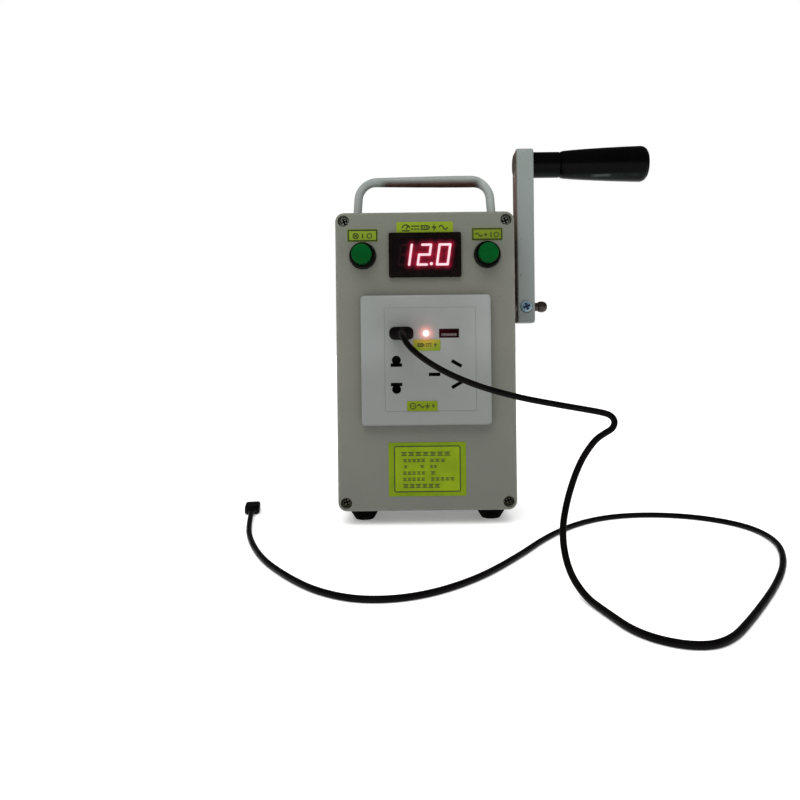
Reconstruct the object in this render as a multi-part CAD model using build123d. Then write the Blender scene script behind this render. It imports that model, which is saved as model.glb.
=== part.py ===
import math
import os

from build123d import *

# Hand crank generator in an upright ABS enclosure. Millimetres, +Z up.
# Everything is laid out about the middle of the enclosure (X to the right of
# its face, Y into it, Z from the floor), and moved at the end so that the
# origin is the middle of the footprint at floor level.

# ---------------------------------------------------------------- dimensions
BOX_W, BOX_H, BOX_D = 120.0, 200.0, 75.0  # enclosure outside
FOOT_H = 10.0
WALL = 2.5
LID_D = 12.0  # depth of the lid
GASKET = 0.8  # seam between lid and case
CORNER_R = 6.0
FACE = -BOX_D / 2  # y of the front face
BACK = BOX_D / 2
Z0, Z1 = FOOT_H, FOOT_H + BOX_H
ZC = (Z0 + Z1) / 2
LID_BACK = FACE + LID_D
CASE_FRONT = LID_BACK + GASKET
IN_W, IN_H = BOX_W - 2 * WALL, BOX_H - 2 * WALL
SCREW_X, SCREW_Z = BOX_W / 2 - 5.6, BOX_H / 2 - 5.6

FOOT_X = 44.2
FOOT_YS = (-12.2, 22.5)  # both rows are on the case, behind the seam
FOOT_R_TOP, FOOT_R_LOW = 12.4, 6.8

HANDLE_X = 48.4  # half spacing of the legs at the enclosure
HANDLE_LEAN = 1.4  # how far the legs lean in
HANDLE_BAR_Z = 238.0
HANDLE_R = 3.0
HANDLE_MID_R = 4.3
HANDLE_BEND = 10.0
BAR_HALF = 35.5  # half of the swelled part of the bar

METER_Z = 181.0
METER_W, METER_H = 48.2, 29.8
BUTTON_X, BUTTON_Z = 41.6, 181.0
BUTTON_PROUD = 13.0
BUTTON_TRAVEL = 2.0

PLATE = 86.0
PLATE_Z = 111.0
PLATE_PROUD = 8.0
INS_X, INS_Z, INS_W, INS_H = 2.8, 111.6, 60.0, 68.0
TWO_PIN_X, THREE_PIN_Z = -19.7, 101.6
USB_X, USB_Z = 15.2, 128.6
USB_W, USB_H = 13.2, 6.0

CRANK_Z = 147.4
CRANK_R = 101.9
SHAFT_R = 4.0
ARM_X0, ARM_X1 = 65.0, 77.2
ARM_FOOT_HALF, ARM_TOP_HALF = 10.8, 12.0  # half depth of the bar at its ends
ARM_BELOW, ARM_ABOVE = 11.6, 9.6  # how far it runs past the two axes
CLAMP_X = 71.1
SLEEVE_X1 = 97.0
GRIP_X0, GRIP_X1 = 97.3, 160.0
GRIP_R0, GRIP_R1 = 9.8, 12.65
GRIP_Z = CRANK_Z + CRANK_R

# gear train: module, teeth, and the axes in (y, z)
PRESSURE = 25.0
T_CRANK, T_PINION, T_GEAR = 48, 12, 40
M1, M2, M3 = 1.0, 1.0, 0.8
C0 = (0.0, CRANK_Z)
C1 = (C0[0] + 8.4, C0[1] - 28.8)  # 30.0 from C0
C2 = (C1[0] - 10.0, C1[1] - 24.0)  # 26.0 from C1
C3 = (C2[0] + 8.0, C2[1] - 19.2)  # 20.8 from C2
CAN_R = 18.5

LAMP_Y, LAMP_Z, LAMP_PROUD = 8.0, 160.0, 3.4

CORD_D = 3.5

# the origin: middle of the footprint of everything but the cable
SHIFT_X = (GRIP_X1 - (BOX_W / 2 + LAMP_PROUD)) / 2
SHIFT_Y = (BACK + FACE - BUTTON_PROUD) / 2

os.makedirs("parts", exist_ok=True)
written = []


# ------------------------------------------------------------------- helpers
def save(name, *shapes):
    to_origin = Location((-SHIFT_X, -SHIFT_Y, 0))
    solids = [q.moved(to_origin) for s in shapes for q in s.solids()]
    body = solids[0] if len(solids) == 1 else Compound(solids)
    body.label = name
    export_step(body, f"parts/{name}.step")
    written.append(name)


def block(x0, x1, y0, y1, z0, z1):
    return Pos((x0 + x1) / 2, (y0 + y1) / 2, (z0 + z1) / 2) * Box(
        x1 - x0, y1 - y0, z1 - z0
    )


def cyl_x(x0, x1, y, z, r):
    return Pos((x0 + x1) / 2, y, z) * Rot(0, 90, 0) * Cylinder(r, x1 - x0)


def cyl_y(y0, y1, x, z, r):
    return Pos(x, (y0 + y1) / 2, z) * Rot(90, 0, 0) * Cylinder(r, y1 - y0)


def cyl_z(z0, z1, x, y, r):
    return Pos(x, y, (z0 + z1) / 2) * Cylinder(r, z1 - z0)


def ring_x(x0, x1, y, z, r_out, r_in):
    return cyl_x(x0, x1, y, z, r_out) - cyl_x(x0 - 1, x1 + 1, y, z, r_in)


def ring_y(y0, y1, x, z, r_out, r_in):
    return cyl_y(y0, y1, x, z, r_out) - cyl_y(y0 - 1, y1 + 1, x, z, r_in)


def slab_y(sketch, y0, y1):
    """A sketch in (X, Z) made solid from y0 to y1."""
    plane = Plane(origin=(0, y1, 0), x_dir=(1, 0, 0), z_dir=(0, -1, 0))
    return extrude(plane * sketch, y1 - y0)


def slab_x(sketch, x0, x1):
    """A sketch in (Y, Z) made solid from x0 to x1."""
    plane = Plane(origin=(x0, 0, 0), x_dir=(0, 1, 0), z_dir=(1, 0, 0))
    return extrude(plane * sketch, x1 - x0)


def rounded(w, h, r, cx=0.0, cz=0.0):
    return Pos(cx, cz) * RectangleRounded(w, h, r)


def lathe_y(points, x, z):
    """(radius, y) points turned about an axis along Y."""
    face = make_face(Polyline(*[(r, y) for r, y in points], close=True))
    return Pos(x, 0, z) * revolve(face, Axis.Y, 360)


def lathe_x(points, y, z):
    """(x, radius) points turned about an axis along X."""
    face = make_face(Polyline(*[(a, r) for a, r in points], close=True))
    return Pos(0, y, z) * revolve(face, Axis.X, 360)


def lathe_z(points, x, y):
    """(radius, z) points turned about an axis along Z."""
    face = make_face(Plane.XZ * Polyline(*[(r, h) for r, h in points], close=True))
    return Pos(x, y, 0) * revolve(face, Axis.Z, 360)


def cross(depth, size, width):
    """A cross recess cutter, square to Z, its mouth at z = 0 and going down."""
    bar = Pos(0, 0, -depth / 2) * Box(size, width, depth + 0.02)
    return bar + Rot(0, 0, 90) * bar


def gear(teeth, module, centre, x0, x1, phase, bore=None, thin=0.12):
    """A spur gear about an axis along X, with a tooth at the angle phase."""
    a = math.radians(PRESSURE)
    rp = module * teeth / 2
    rb, ra, rf = rp * math.cos(a), rp + 0.92 * module, rp - 1.2 * module
    half = (math.pi * module / 2 - thin) / (2 * rp)

    def spread(r):
        t = math.acos(min(1.0, rb / r))
        return half + math.tan(a) - a - (math.tan(t) - t)

    r0 = max(rb, rf)
    steps = [r0 + (ra - r0) * k / 4 for k in range(5)]
    pts = []
    for k in range(teeth):
        mid = phase + 2 * math.pi * k / teeth
        flank = [(r, spread(r)) for r in steps]
        if rf < r0 - 0.02:
            flank.insert(0, (rf, spread(r0)))
        pts += [(r, mid - s) for r, s in flank]
        pts += [(r, mid + s) for r, s in reversed(flank)]
    outline = Polygon(
        *[
            (centre[0] + r * math.cos(t), centre[1] + r * math.sin(t)) for r, t in pts
        ],
        align=None,
    )
    solid = slab_x(outline, x0, x1)
    if bore:
        solid -= cyl_x(x0 - 1, x1 + 1, centre[0], centre[1], bore)
    return solid


def route_tube(points, radius):
    """A round tube along straight runs joined by tangent arcs."""
    p = [Vector(*q) for q in points]
    radii = []
    for i in range(1, len(p) - 1):
        a, b = p[i] - p[i - 1], p[i + 1] - p[i]
        turn = math.radians(a.get_angle(b))
        radii.append(0.45 * min(a.length, b.length) / math.tan(turn / 2))
    path = FilletPolyline(*[tuple(q) for q in p], radius=radii)
    start = Plane(origin=path @ 0, z_dir=path % 0)
    tube = sweep(start * Circle(radius), path=path, transition=Transition.ROUND)
    return tube, radii, path.length


# ------------------------------------------------------------------ rear case
outer = slab_y(rounded(BOX_W, BOX_H, CORNER_R, 0, ZC), CASE_FRONT, BACK)
outer = fillet(outer.faces().sort_by(Axis.Y)[-1].edges(), 2.5)
rear_case = outer - slab_y(rounded(IN_W, IN_H, 4, 0, ZC), CASE_FRONT - 1, BACK - 2.7)
corners = [(sx * SCREW_X, ZC + sz * SCREW_Z) for sx in (-1, 1) for sz in (-1, 1)]
shell_outline = slab_y(rounded(BOX_W - 0.6, BOX_H - 0.6, 5.7, 0, ZC), FACE + 1, BACK - 1)
for cx, cz in corners:
    rear_case += cyl_y(CASE_FRONT, BACK - 2, cx, cz, 5.0) & shell_outline
# posts that carry the inverter board
inv_posts = [(-46.0, 154.0), (-46.0, 194.5), (24.0, 154.0), (24.0, 194.5)]
for px, pz in inv_posts:
    rear_case += cyl_y(28.6, BACK - 2, px, pz, 2.8)
# posts that carry the charge board
chg_posts = [(-4.0, 84.0), (22.0, 84.0), (-4.0, 130.0), (22.0, 130.0)]
for py, pz in chg_posts:
    rear_case += cyl_x(-58, -54, py, pz, 2.6)
for cx, cz in corners:
    rear_case -= cyl_y(CASE_FRONT - 1, CASE_FRONT + 24, cx, cz, 1.6)
gear_posts = [(-20.5, 168.5), (20.5, 168.5), (-17.0, 62.0), (27.0, 62.0)]
rear_case -= cyl_x(50, 62, C0[0], C0[1], 6.0)
for gy, gz in gear_posts:
    rear_case -= cyl_x(50, 62, gy, gz, 2.0)
rear_case -= cyl_x(-62, -50, LAMP_Y, LAMP_Z, 9.0)
for sx in (-1, 1):
    rear_case -= cyl_z(200, 212, sx * (HANDLE_X - 0.5), 0, 1.6)
    rear_case -= cyl_z(198, 207.5, sx * (HANDLE_X - 0.5), 0, 4.6)
    for fy in FOOT_YS:
        rear_case -= cyl_z(8, 14, sx * FOOT_X, fy, 1.6)
save("rear_case", rear_case)

# ------------------------------------------------------------------ front lid
lid = slab_y(rounded(BOX_W, BOX_H, CORNER_R, 0, ZC), FACE, LID_BACK)
lid = fillet(lid.faces().sort_by(Axis.Y)[0].edges(), 1.8)
lid -= slab_y(rounded(IN_W, IN_H, 4, 0, ZC), FACE + 3, LID_BACK + 1)
for cx, cz in corners:
    lid += cyl_y(FACE + 2, LID_BACK, cx, cz, 5.0) & shell_outline
    lid -= cyl_y(FACE - 1, FACE + 8, cx, cz, 3.8)
    lid -= cyl_y(FACE, LID_BACK + 1, cx, cz, 2.1)
lid -= slab_y(rounded(45.8, 27.0, 0.5, 0, METER_Z), FACE - 1, FACE + 4)
for sx in (-1, 1):
    lid -= cyl_y(FACE - 1, FACE + 4, sx * BUTTON_X, BUTTON_Z, 6.1)
lid -= slab_y(rounded(58.6, 66.6, 1.0, INS_X, INS_Z), FACE - 1, FACE + 4)
plate_screws = [(sx * 37.3, PLATE_Z + sz * 34.0) for sx in (-1, 1) for sz in (-1, 1)]
for px, pz in plate_screws:
    lid -= cyl_y(FACE - 1, FACE + 4, px, pz, 1.6)
save("front_lid", lid)

# --------------------------------------------------------------------- gasket
gasket = slab_y(
    rounded(BOX_W - 1.6, BOX_H - 1.6, 5.2, 0, ZC), LID_BACK, CASE_FRONT
) - slab_y(rounded(IN_W, IN_H, 4, 0, ZC), LID_BACK - 1, CASE_FRONT + 1)
for cx, cz in corners:
    gasket -= cyl_y(LID_BACK - 1, CASE_FRONT + 1, cx, cz, 2.2)
save("lid_gasket", *[s for s in gasket.solids() if s.volume > 1.0])

# ----------------------------------------------------------------- lid screws
screws = []
for cx, cz in corners:
    head = lathe_y(
        [
            (0, FACE + 4.6),
            (1.6, FACE + 4.75),
            (2.8, FACE + 5.3),
            (3.5, FACE + 6.2),
            (3.5, FACE + 8.0),
            (0, FACE + 8.0),
        ],
        cx,
        cz,
    )
    s = head + cyl_y(FACE + 8.0, CASE_FRONT + 20, cx, cz, 1.6)
    s -= Pos(cx, FACE + 4.5, cz) * Rot(90, 0, 0) * Rot(0, 0, 20) * cross(2.0, 4.4, 0.9)
    screws.append(s)

# ----------------------------------------------------------------------- feet
feet, foot_screws = [], []
for sx in (-1, 1):
    for y in FOOT_YS:
        x = sx * FOOT_X
        f = lathe_z(
            [
                (0, 0),
                (FOOT_R_LOW - 0.6, 0),
                (FOOT_R_LOW, 0.6),
                (FOOT_R_TOP - 0.2, FOOT_H - 0.5),
                (FOOT_R_TOP - 0.5, FOOT_H),
                (0, FOOT_H),
            ],
            x,
            y,
        )
        f -= cyl_z(-1, 4.0, x, y, 3.6)
        f -= cyl_z(3, 12, x, y, 1.7)
        feet.append(f)
        s = cyl_z(1.8, 4.0, x, y, 3.1) + cyl_z(4.0, 13.2, x, y, 1.55)
        s -= Pos(x, y, 1.8) * Rot(180, 0, 0) * cross(1.2, 3.6, 0.8)
        foot_screws.append(s)
save("rubber_feet", *feet)

# --------------------------------------------------------------- carry handle
# Two legs that lean in a little, two bends, and a bar that is thickest in the
# middle, where the hand holds it.
lean = math.atan2(HANDLE_LEAN, HANDLE_BAR_Z - HANDLE_BEND - Z1)


def handle_half(sx):
    # the leg starts below the enclosure's top and is cut flat there
    path = FilletPolyline(
        (sx * (HANDLE_X + 4 * math.tan(lean)), 0, Z1 - 4),
        (sx * (HANDLE_X - (HANDLE_BAR_Z - Z1) * math.tan(lean)), 0, HANDLE_BAR_Z),
        (sx * (BAR_HALF - 0.5), 0, HANDLE_BAR_Z),
        radius=HANDLE_BEND,
    )
    start = Plane(origin=path @ 0, z_dir=path % 0)
    leg = sweep(start * Circle(HANDLE_R), path=path)
    return leg - block(-70, 70, -10, 10, Z1 - 8, Z1)


bar_face = make_face(
    [
        Line((-BAR_HALF, 0), (-BAR_HALF, HANDLE_R)),
        Spline(
            (-BAR_HALF, HANDLE_R),
            (-22, HANDLE_R + 0.55),
            (-6, HANDLE_MID_R - 0.3),
            (10, HANDLE_MID_R),
            (24, HANDLE_MID_R - 0.1),
            (BAR_HALF, HANDLE_R + 0.02),
        ),
        Line((BAR_HALF, HANDLE_R + 0.02), (BAR_HALF, 0)),
        Line((BAR_HALF, 0), (-BAR_HALF, 0)),
    ]
)
handle = Pos(0, 0, HANDLE_BAR_Z) * revolve(bar_face, Axis.X, 360)
handle = handle + handle_half(-1) + handle_half(1)
for sx in (-1, 1):
    handle -= cyl_z(Z1 - 1, Z1 + 9, sx * (HANDLE_X - 0.5), 0, 1.5)
save("carry_handle", handle)
hs, hw = [], []
for sx in (-1, 1):
    x = sx * (HANDLE_X - 0.5)
    s = cyl_z(203.6, 205.9, x, 0, 2.9) + cyl_z(205.9, Z1 + 8.5, x, 0, 1.5)
    s -= Pos(x, 0, 203.6) * Rot(180, 0, 0) * cross(1.2, 3.4, 0.8)
    hs.append(s)
    hw.append(cyl_z(205.9, Z1 - WALL, x, 0, 4.0) - cyl_z(205, 209, x, 0, 1.6))
save("foot_and_handle_screws", *foot_screws, *hs, *hw)

# ------------------------------------------------------------------ voltmeter
mf = FACE - 3.5
bezel = slab_y(rounded(METER_W, METER_H, 1.2, 0, METER_Z), mf, FACE)
bezel = chamfer(bezel.faces().sort_by(Axis.Y)[0].edges(), 0.6)
bezel += slab_y(rounded(45.4, 26.6, 0.5, 0, METER_Z), FACE - 0.5, -17)
bezel -= slab_y(rounded(43.6, 22.0, 0.5, 0, METER_Z), mf - 1, FACE)
bezel -= slab_y(rounded(43.0, 24.2, 0.5, 0, METER_Z), FACE - 1.0, -16)
save("voltmeter_bezel", bezel)
save(
    "voltmeter_window",
    slab_y(rounded(43.5, 21.9, 0.45, 0, METER_Z), mf + 0.4, mf + 1.6),
)
display = block(-18.8, 18.8, mf + 1.7, mf + 9.7, 171.5, 190.5)
board = block(-21.0, 21.0, mf + 9.8, mf + 11.4, 169.2, 192.8)
board += block(-6, 6, mf + 11.4, mf + 13.0, 176, 182)
board += block(10, 18, mf + 11.4, mf + 17.0, 171, 176)
board += cyl_y(mf + 11.4, mf + 14.0, -13, 187, 2.6)
save("voltmeter_board", board, display)

# --------------------------------------------------------------- push buttons
nuts = []
for name, sx in (("lamp_button", -1), ("power_button", 1)):
    x, z = sx * BUTTON_X, BUTTON_Z
    body = lathe_y(
        [
            (6.8, FACE - 1.0),
            (6.8, FACE - 6.5),
            (7.9, FACE - 6.5),
            (8.3, FACE - 6.1),
            (9.1, FACE - 0.5),
            (9.1, FACE),
            (5.95, FACE),
            (5.95, FACE + 17.5),
            (2.9, FACE + 17.5),
            (2.9, FACE + 13.5),
            (4.6, FACE + 13.5),
            (4.6, FACE - 1.0),
        ],
        x,
        z,
    )
    body += cyl_y(FACE + 17.5, FACE + 18.7, x, z, 5.95)
    save(f"{name}_body", body)
    cap = lathe_y(
        [
            (0, FACE - BUTTON_PROUD),
            (5.7, FACE - BUTTON_PROUD),
            (6.3, FACE - BUTTON_PROUD + 0.25),
            (6.6, FACE - BUTTON_PROUD + 0.9),
            (6.6, FACE - 3.4),
            (2.4, FACE - 3.4),
            (2.4, FACE + 15.0),
            (0, FACE + 15.0),
        ],
        x,
        z,
    )
    save(f"{name}_cap", cap)
    coil = Helix(pitch=3.0, height=15.6, radius=3.7)
    wire = sweep(
        Plane(origin=coil @ 0, z_dir=coil % 0) * Circle(0.3), path=coil, is_frenet=True
    )
    save(f"{name}_spring", Pos(x, FACE + 12.9, z) * Rot(90, 0, 0) * wire)
    hexagon = Pos(x, z) * RegularPolygon(8.6, 6)
    nuts.append(
        slab_y(hexagon, FACE + 3.05, FACE + 5.8)
        - cyl_y(FACE + 2, FACE + 7, x, z, 6.0)
    )

# --------------------------------------------------------------- wall outlet
pf = FACE - PLATE_PROUD
plate = slab_y(rounded(PLATE, PLATE, 2.5, 0, PLATE_Z), pf, FACE)
plate = fillet(plate.faces().sort_by(Axis.Y)[0].edges(), 1.6)
plate -= slab_y(rounded(82, 82, 1.2, 0, PLATE_Z), pf + 2.2, FACE + 1)
plate -= slab_y(rounded(INS_W + 0.16, INS_H + 0.16, 1.1, INS_X, INS_Z), pf - 1, FACE)
for px, pz in plate_screws:
    plate += cyl_y(pf + 1.5, FACE, px, pz, 3.2)
    plate -= cyl_y(pf + 3.0, FACE + 1, px, pz, 1.5)
save("socket_plate", plate)


def pin_holes(grow=0.0):
    s = Pos(TWO_PIN_X, THREE_PIN_Z + 9.6) * Circle(3.0 + grow)
    s += Pos(TWO_PIN_X, THREE_PIN_Z - 9.6) * Circle(3.0 + grow)
    for dz in (-6.4, 6.4):
        s += Pos(TWO_PIN_X, THREE_PIN_Z + dz) * Rectangle(7.6 + 2 * grow, 2.3 + 2 * grow)
    for dx, dz, turn in ((5.4, 0, 0), (20.0, 7.0, -30), (20.0, -7.0, 30)):
        s += (
            Pos(dx, THREE_PIN_Z + dz)
            * Rot(0, 0, turn)
            * Rectangle(7.6 + 2 * grow, 2.3 + 2 * grow)
        )
    return s


insert = slab_y(rounded(INS_W, INS_H, 1.0, INS_X, INS_Z), pf - 0.25, pf + 3.4)
insert = chamfer(insert.faces().sort_by(Axis.Y)[0].edges(), 0.2)
insert -= slab_y(pin_holes(), pf - 1, pf + 4)
for sx in (-1, 1):
    insert -= slab_y(
        Pos(sx * USB_X, USB_Z) * Rectangle(USB_W + 0.1, USB_H + 0.1), pf - 1, pf + 4
    )
insert -= cyl_y(pf - 1, pf + 4, 0, USB_Z, 2.05)
save("socket_insert", insert)

ps = []
for px, pz in plate_screws:
    z_head = FACE + 3.0
    q = cyl_y(z_head, z_head + 1.9, px, pz, 2.9) + cyl_y(FACE - 4.2, z_head, px, pz, 1.5)
    q -= Pos(px, z_head + 1.9, pz) * Rot(-90, 0, 0) * cross(1.1, 3.4, 0.8)
    ps.append(q)
save("lid_and_outlet_screws", *screws, *ps)

sb0, sb1 = pf + 3.5, FACE + 21.0
housing = slab_y(rounded(58.2, 66.2, 0.8, INS_X, INS_Z), sb0, sb1)
housing -= slab_y(rounded(54.2, 62.2, 0.8, INS_X, INS_Z), sb0 + 2.0, sb1 - 1.6)
housing -= slab_y(pin_holes(0.3), sb0 - 1, sb0 + 3)
for sx in (-1, 1):
    housing -= slab_y(
        Pos(sx * USB_X, USB_Z) * Rectangle(USB_W + 0.1, USB_H + 0.1), sb0 - 1, sb0 + 3
    )
housing -= cyl_y(sb0 - 1, sb0 + 3, 0, USB_Z, 2.05)
save("socket_housing", housing)

contacts = []
c0, c1 = sb0 + 2.05, sb1 - 1.65
for dz in (-8.0, 8.0):
    jaw = block(-24.1, -15.1, c0, c1, THREE_PIN_Z + dz - 4.9, THREE_PIN_Z + dz + 4.9)
    jaw -= block(-23.3, -15.9, c0 - 1, c1 - 0.8, THREE_PIN_Z + dz - 4.9 - 1, THREE_PIN_Z + dz + 5.9)
    contacts.append(jaw)
for dx, dz, turn in ((5.4, 0, 0), (20.0, 7.0, -30), (20.0, -7.0, 30)):
    u = Pos(0, (c0 + c1) / 2, 0) * Box(7.0, c1 - c0, 4.2)
    u -= Pos(0, (c0 + c1) / 2 - 0.4, 0) * Box(8.0, c1 - c0 - 0.79, 2.8)
    contacts.append(Pos(dx, 0, THREE_PIN_Z + dz) * Rot(0, -turn, 0) * u)
save("socket_contacts", *contacts)

# --------------------------------------------------------------- USB sockets
ports, tongues = [], []
for sx in (-1, 1):
    x = sx * USB_X
    p = slab_y(rounded(USB_W, USB_H, 0.5, x, USB_Z), pf + 0.1, pf + 15.0)
    p -= slab_y(rounded(USB_W - 0.7, USB_H - 0.7, 0.3, x, USB_Z), pf - 1, pf + 14.5)
    ports.append(p)
    tongues.append(block(x - 5.2, x + 5.2, pf + 3.0, pf + 14.5, USB_Z - 1.75, USB_Z - 0.05))
save("usb_ports", *ports)
usb_board = block(-24, 24, pf + 15.05, pf + 16.65, USB_Z - 8, USB_Z + 8)
usb_board += block(-6, 2, pf + 16.65, pf + 18.2, USB_Z - 6, USB_Z)
usb_board += block(8, 16, pf + 16.65, pf + 19.5, USB_Z - 5, USB_Z + 3)
save("usb_board", usb_board, *tongues)
led = cyl_y(pf - 0.4, pf + 10, 0, USB_Z, 2.0)
led += (Pos(0, pf - 0.4, USB_Z) * Sphere(2.0)) & block(-3, 3, pf - 3, pf, USB_Z - 3, USB_Z + 3)
led += cyl_y(pf + 9, pf + 10, 0, USB_Z, 2.6)
led += block(-1.6, -1.1, pf + 9, pf + 15.05, USB_Z - 0.25, USB_Z + 0.25)
led += block(1.1, 1.6, pf + 9, pf + 15.05, USB_Z - 0.25, USB_Z + 0.25)
save("usb_indicator", led)

# --------------------------------------------------------------------- labels
LT = 0.2
labels = {
    "label_lamp": (-BUTTON_X, 194.6, 20.4, 8.4, FACE),
    "label_power": (BUTTON_X + 0.1, 194.7, 20.6, 8.4, FACE),
    "label_meter": (0.0, 199.7, 37.9, 7.3, FACE),
    "label_usb": (0.5, 120.9, 18.0, 7.4, pf - 0.25),
    "label_outlet": (-2.9, 80.9, 20.0, 6.6, pf - 0.25),
    "label_rating": (0.0, 38.0, 51.8, 36.0, FACE),
}
save(
    "labels",
    *[slab_y(rounded(w, h, 0.4, x, z), y - LT, y) for x, z, w, h, y in labels.values()],
)

# ---------------------------------------------------------------- lamp (side)
lx = -BOX_W / 2
lamp_bezel = lathe_x(
    [
        (lx - LAMP_PROUD, 9.0),
        (lx - LAMP_PROUD, 10.2),
        (lx - LAMP_PROUD + 0.8, 11.2),
        (lx, 11.6),
        (lx, 8.9),
        (lx + 9.0, 8.9),
        (lx + 9.0, 7.6),
        (lx - LAMP_PROUD + 1.8, 7.6),
        (lx - LAMP_PROUD + 1.8, 8.6),
    ],
    LAMP_Y,
    LAMP_Z,
)
save("lamp_bezel", lamp_bezel)
lens = lathe_x(
    [
        (lx - LAMP_PROUD + 1.0, 0),
        (lx - LAMP_PROUD + 1.0, 8.55),
        (lx - LAMP_PROUD + 1.75, 8.55),
        (lx - LAMP_PROUD + 1.75, 7.5),
        (lx + 1.0, 7.5),
        (lx + 2.6, 0),
    ],
    LAMP_Y,
    LAMP_Z,
)
save("lamp_lens", lens)
lamp_led = cyl_x(lx + 5.0, lx + 6.2, LAMP_Y, LAMP_Z, 7.5)
lamp_led += block(lx + 4.2, lx + 5.0, LAMP_Y - 2, LAMP_Y + 2, LAMP_Z - 2, LAMP_Z + 2)
save("lamp_led", lamp_led)
lamp_nut = slab_x(
    Pos(LAMP_Y, LAMP_Z) * RegularPolygon(12.5, 6), lx + WALL + 0.05, lx + WALL + 3.0
)
lamp_nut -= cyl_x(lx, lx + 9, LAMP_Y, LAMP_Z, 8.95)
save("panel_nuts", *nuts, lamp_nut)

# -------------------------------------------------------------- gearbox frame
GP0, GP1 = 34.0, 36.0  # inner plate
GQ0, GQ1 = 55.4, 57.4  # outer plate
outline = rounded(55.0, 117.0, 5.0, 3.5, 115.5)
plate_in = slab_x(outline, GP0, GP1)
plate_out = slab_x(outline, GQ0, GQ1)
plate_in -= cyl_x(30, 40, C0[0], C0[1], 6.0)
plate_out -= cyl_x(50, 60, C0[0], C0[1], 6.0)
for c in (C1, C2):
    plate_in -= cyl_x(30, 40, c[0], c[1], 2.0)
    plate_out -= cyl_x(50, 60, c[0], c[1], 2.0)
plate_in -= cyl_x(30, 40, C3[0], C3[1], 5.0)
for gy, gz in gear_posts:
    plate_in -= cyl_x(30, 40, gy, gz, 1.6)
    plate_out -= cyl_x(50, 60, gy, gz, 1.6)
save("gearbox_plate_inner", plate_in)
save("gearbox_plate_outer", plate_out)

gs = []
for gy, gz in gear_posts:
    out = lathe_x(
        [(GQ0 - 6, 0), (GQ0 - 6, 1.5), (60.0, 1.5), (60.0, 3.5), (61.2, 3.4), (61.9, 2.4), (62.1, 0)],
        gy,
        gz,
    )
    out -= Pos(62.1, gy, gz) * Rot(0, 90, 0) * cross(1.3, 3.6, 0.8)
    gs.append(out)
    inn = lathe_x(
        [(GP1 + 6, 0), (GP1 + 6, 1.5), (GP0, 1.5), (GP0, 3.0), (GP0 - 1.6, 2.6), (GP0 - 1.8, 0)],
        gy,
        gz,
    )
    gs.append(inn)
save("gearbox_screws", *gs)
save(
    "gearbox_pins_and_standoffs",
    cyl_x(GP0, GQ1, C1[0], C1[1], 2.0),
    cyl_x(GP0, GQ1, C2[0], C2[1], 2.0),
    *[ring_x(GP1, GQ0, gy, gz, 3.0, 1.5) for gy, gz in gear_posts],
)
bush_out = ring_x(GQ0, 60.0, C0[0], C0[1], 6.0, SHAFT_R + 0.04)
bush_out += ring_x(60.0, 61.3, C0[0], C0[1], 8.3, SHAFT_R + 0.04)
bush_in = ring_x(GP0, GP1, C0[0], C0[1], 6.0, SHAFT_R + 0.04)
bush_in += ring_x(GP0 - 1.2, GP0, C0[0], C0[1], 7.5, SHAFT_R + 0.04)

# ----------------------------------------------------------------- gear train
A0, A1 = 49.6, 54.4  # crank gear and first pinion
B0, B1 = 43.6, 48.0
D0, D1 = 37.6, 41.6
b01 = math.atan2(C1[1] - C0[1], C1[0] - C0[0])
b12 = math.atan2(C2[1] - C1[1], C2[0] - C1[0])
b23 = math.atan2(C3[1] - C2[1], C3[0] - C2[0])
step = math.pi / T_PINION
crank_gear = gear(T_CRANK, M1, C0, A0 + 0.2, A1 - 0.2, b01)
crank_gear += cyl_x(45.0, A0 + 0.2, C0[0], C0[1], 7.5)
crank_gear -= cyl_x(40, 60, C0[0], C0[1], SHAFT_R)
for k in range(5):
    t = 2 * math.pi * k / 5 + 0.3
    crank_gear -= cyl_x(40, 60, C0[0] + 15 * math.cos(t), C0[1] + 15 * math.sin(t), 4.2)
save("crank_gear", crank_gear)
g1 = gear(T_GEAR, M2, C1, B0, B1, b12)
g1 += gear(T_PINION, M1, C1, B1, A1, b01 + math.pi + step)
g1 += cyl_x(GP1 + 0.3, B0, C1[0], C1[1], 3.6)
g1 -= cyl_x(30, 60, C1[0], C1[1], 2.05)
for k in range(4):
    t = math.pi * k / 2
    g1 -= cyl_x(B0 - 1, B1 + 1, C1[0] + 13 * math.cos(t), C1[1] + 13 * math.sin(t), 3.6)
save("compound_gear_1", g1)
g2 = gear(T_GEAR, M3, C2, D0, D1, b23)
g2 += gear(T_PINION, M2, C2, D1, B1 - 0.2, b12 + math.pi + step)
g2 += cyl_x(GP1 + 0.3, D0, C2[0], C2[1], 3.4)
g2 += cyl_x(B1 - 0.2, A1, C2[0], C2[1], 3.4)
g2 -= cyl_x(30, 60, C2[0], C2[1], 2.05)
save("compound_gear_2", g2)
pinion = gear(T_PINION, M3, C3, D0 - 0.4, D1 + 0.4, b23 + math.pi + step, bore=1.6, thin=0.1)
save("motor_pinion", pinion)

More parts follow.
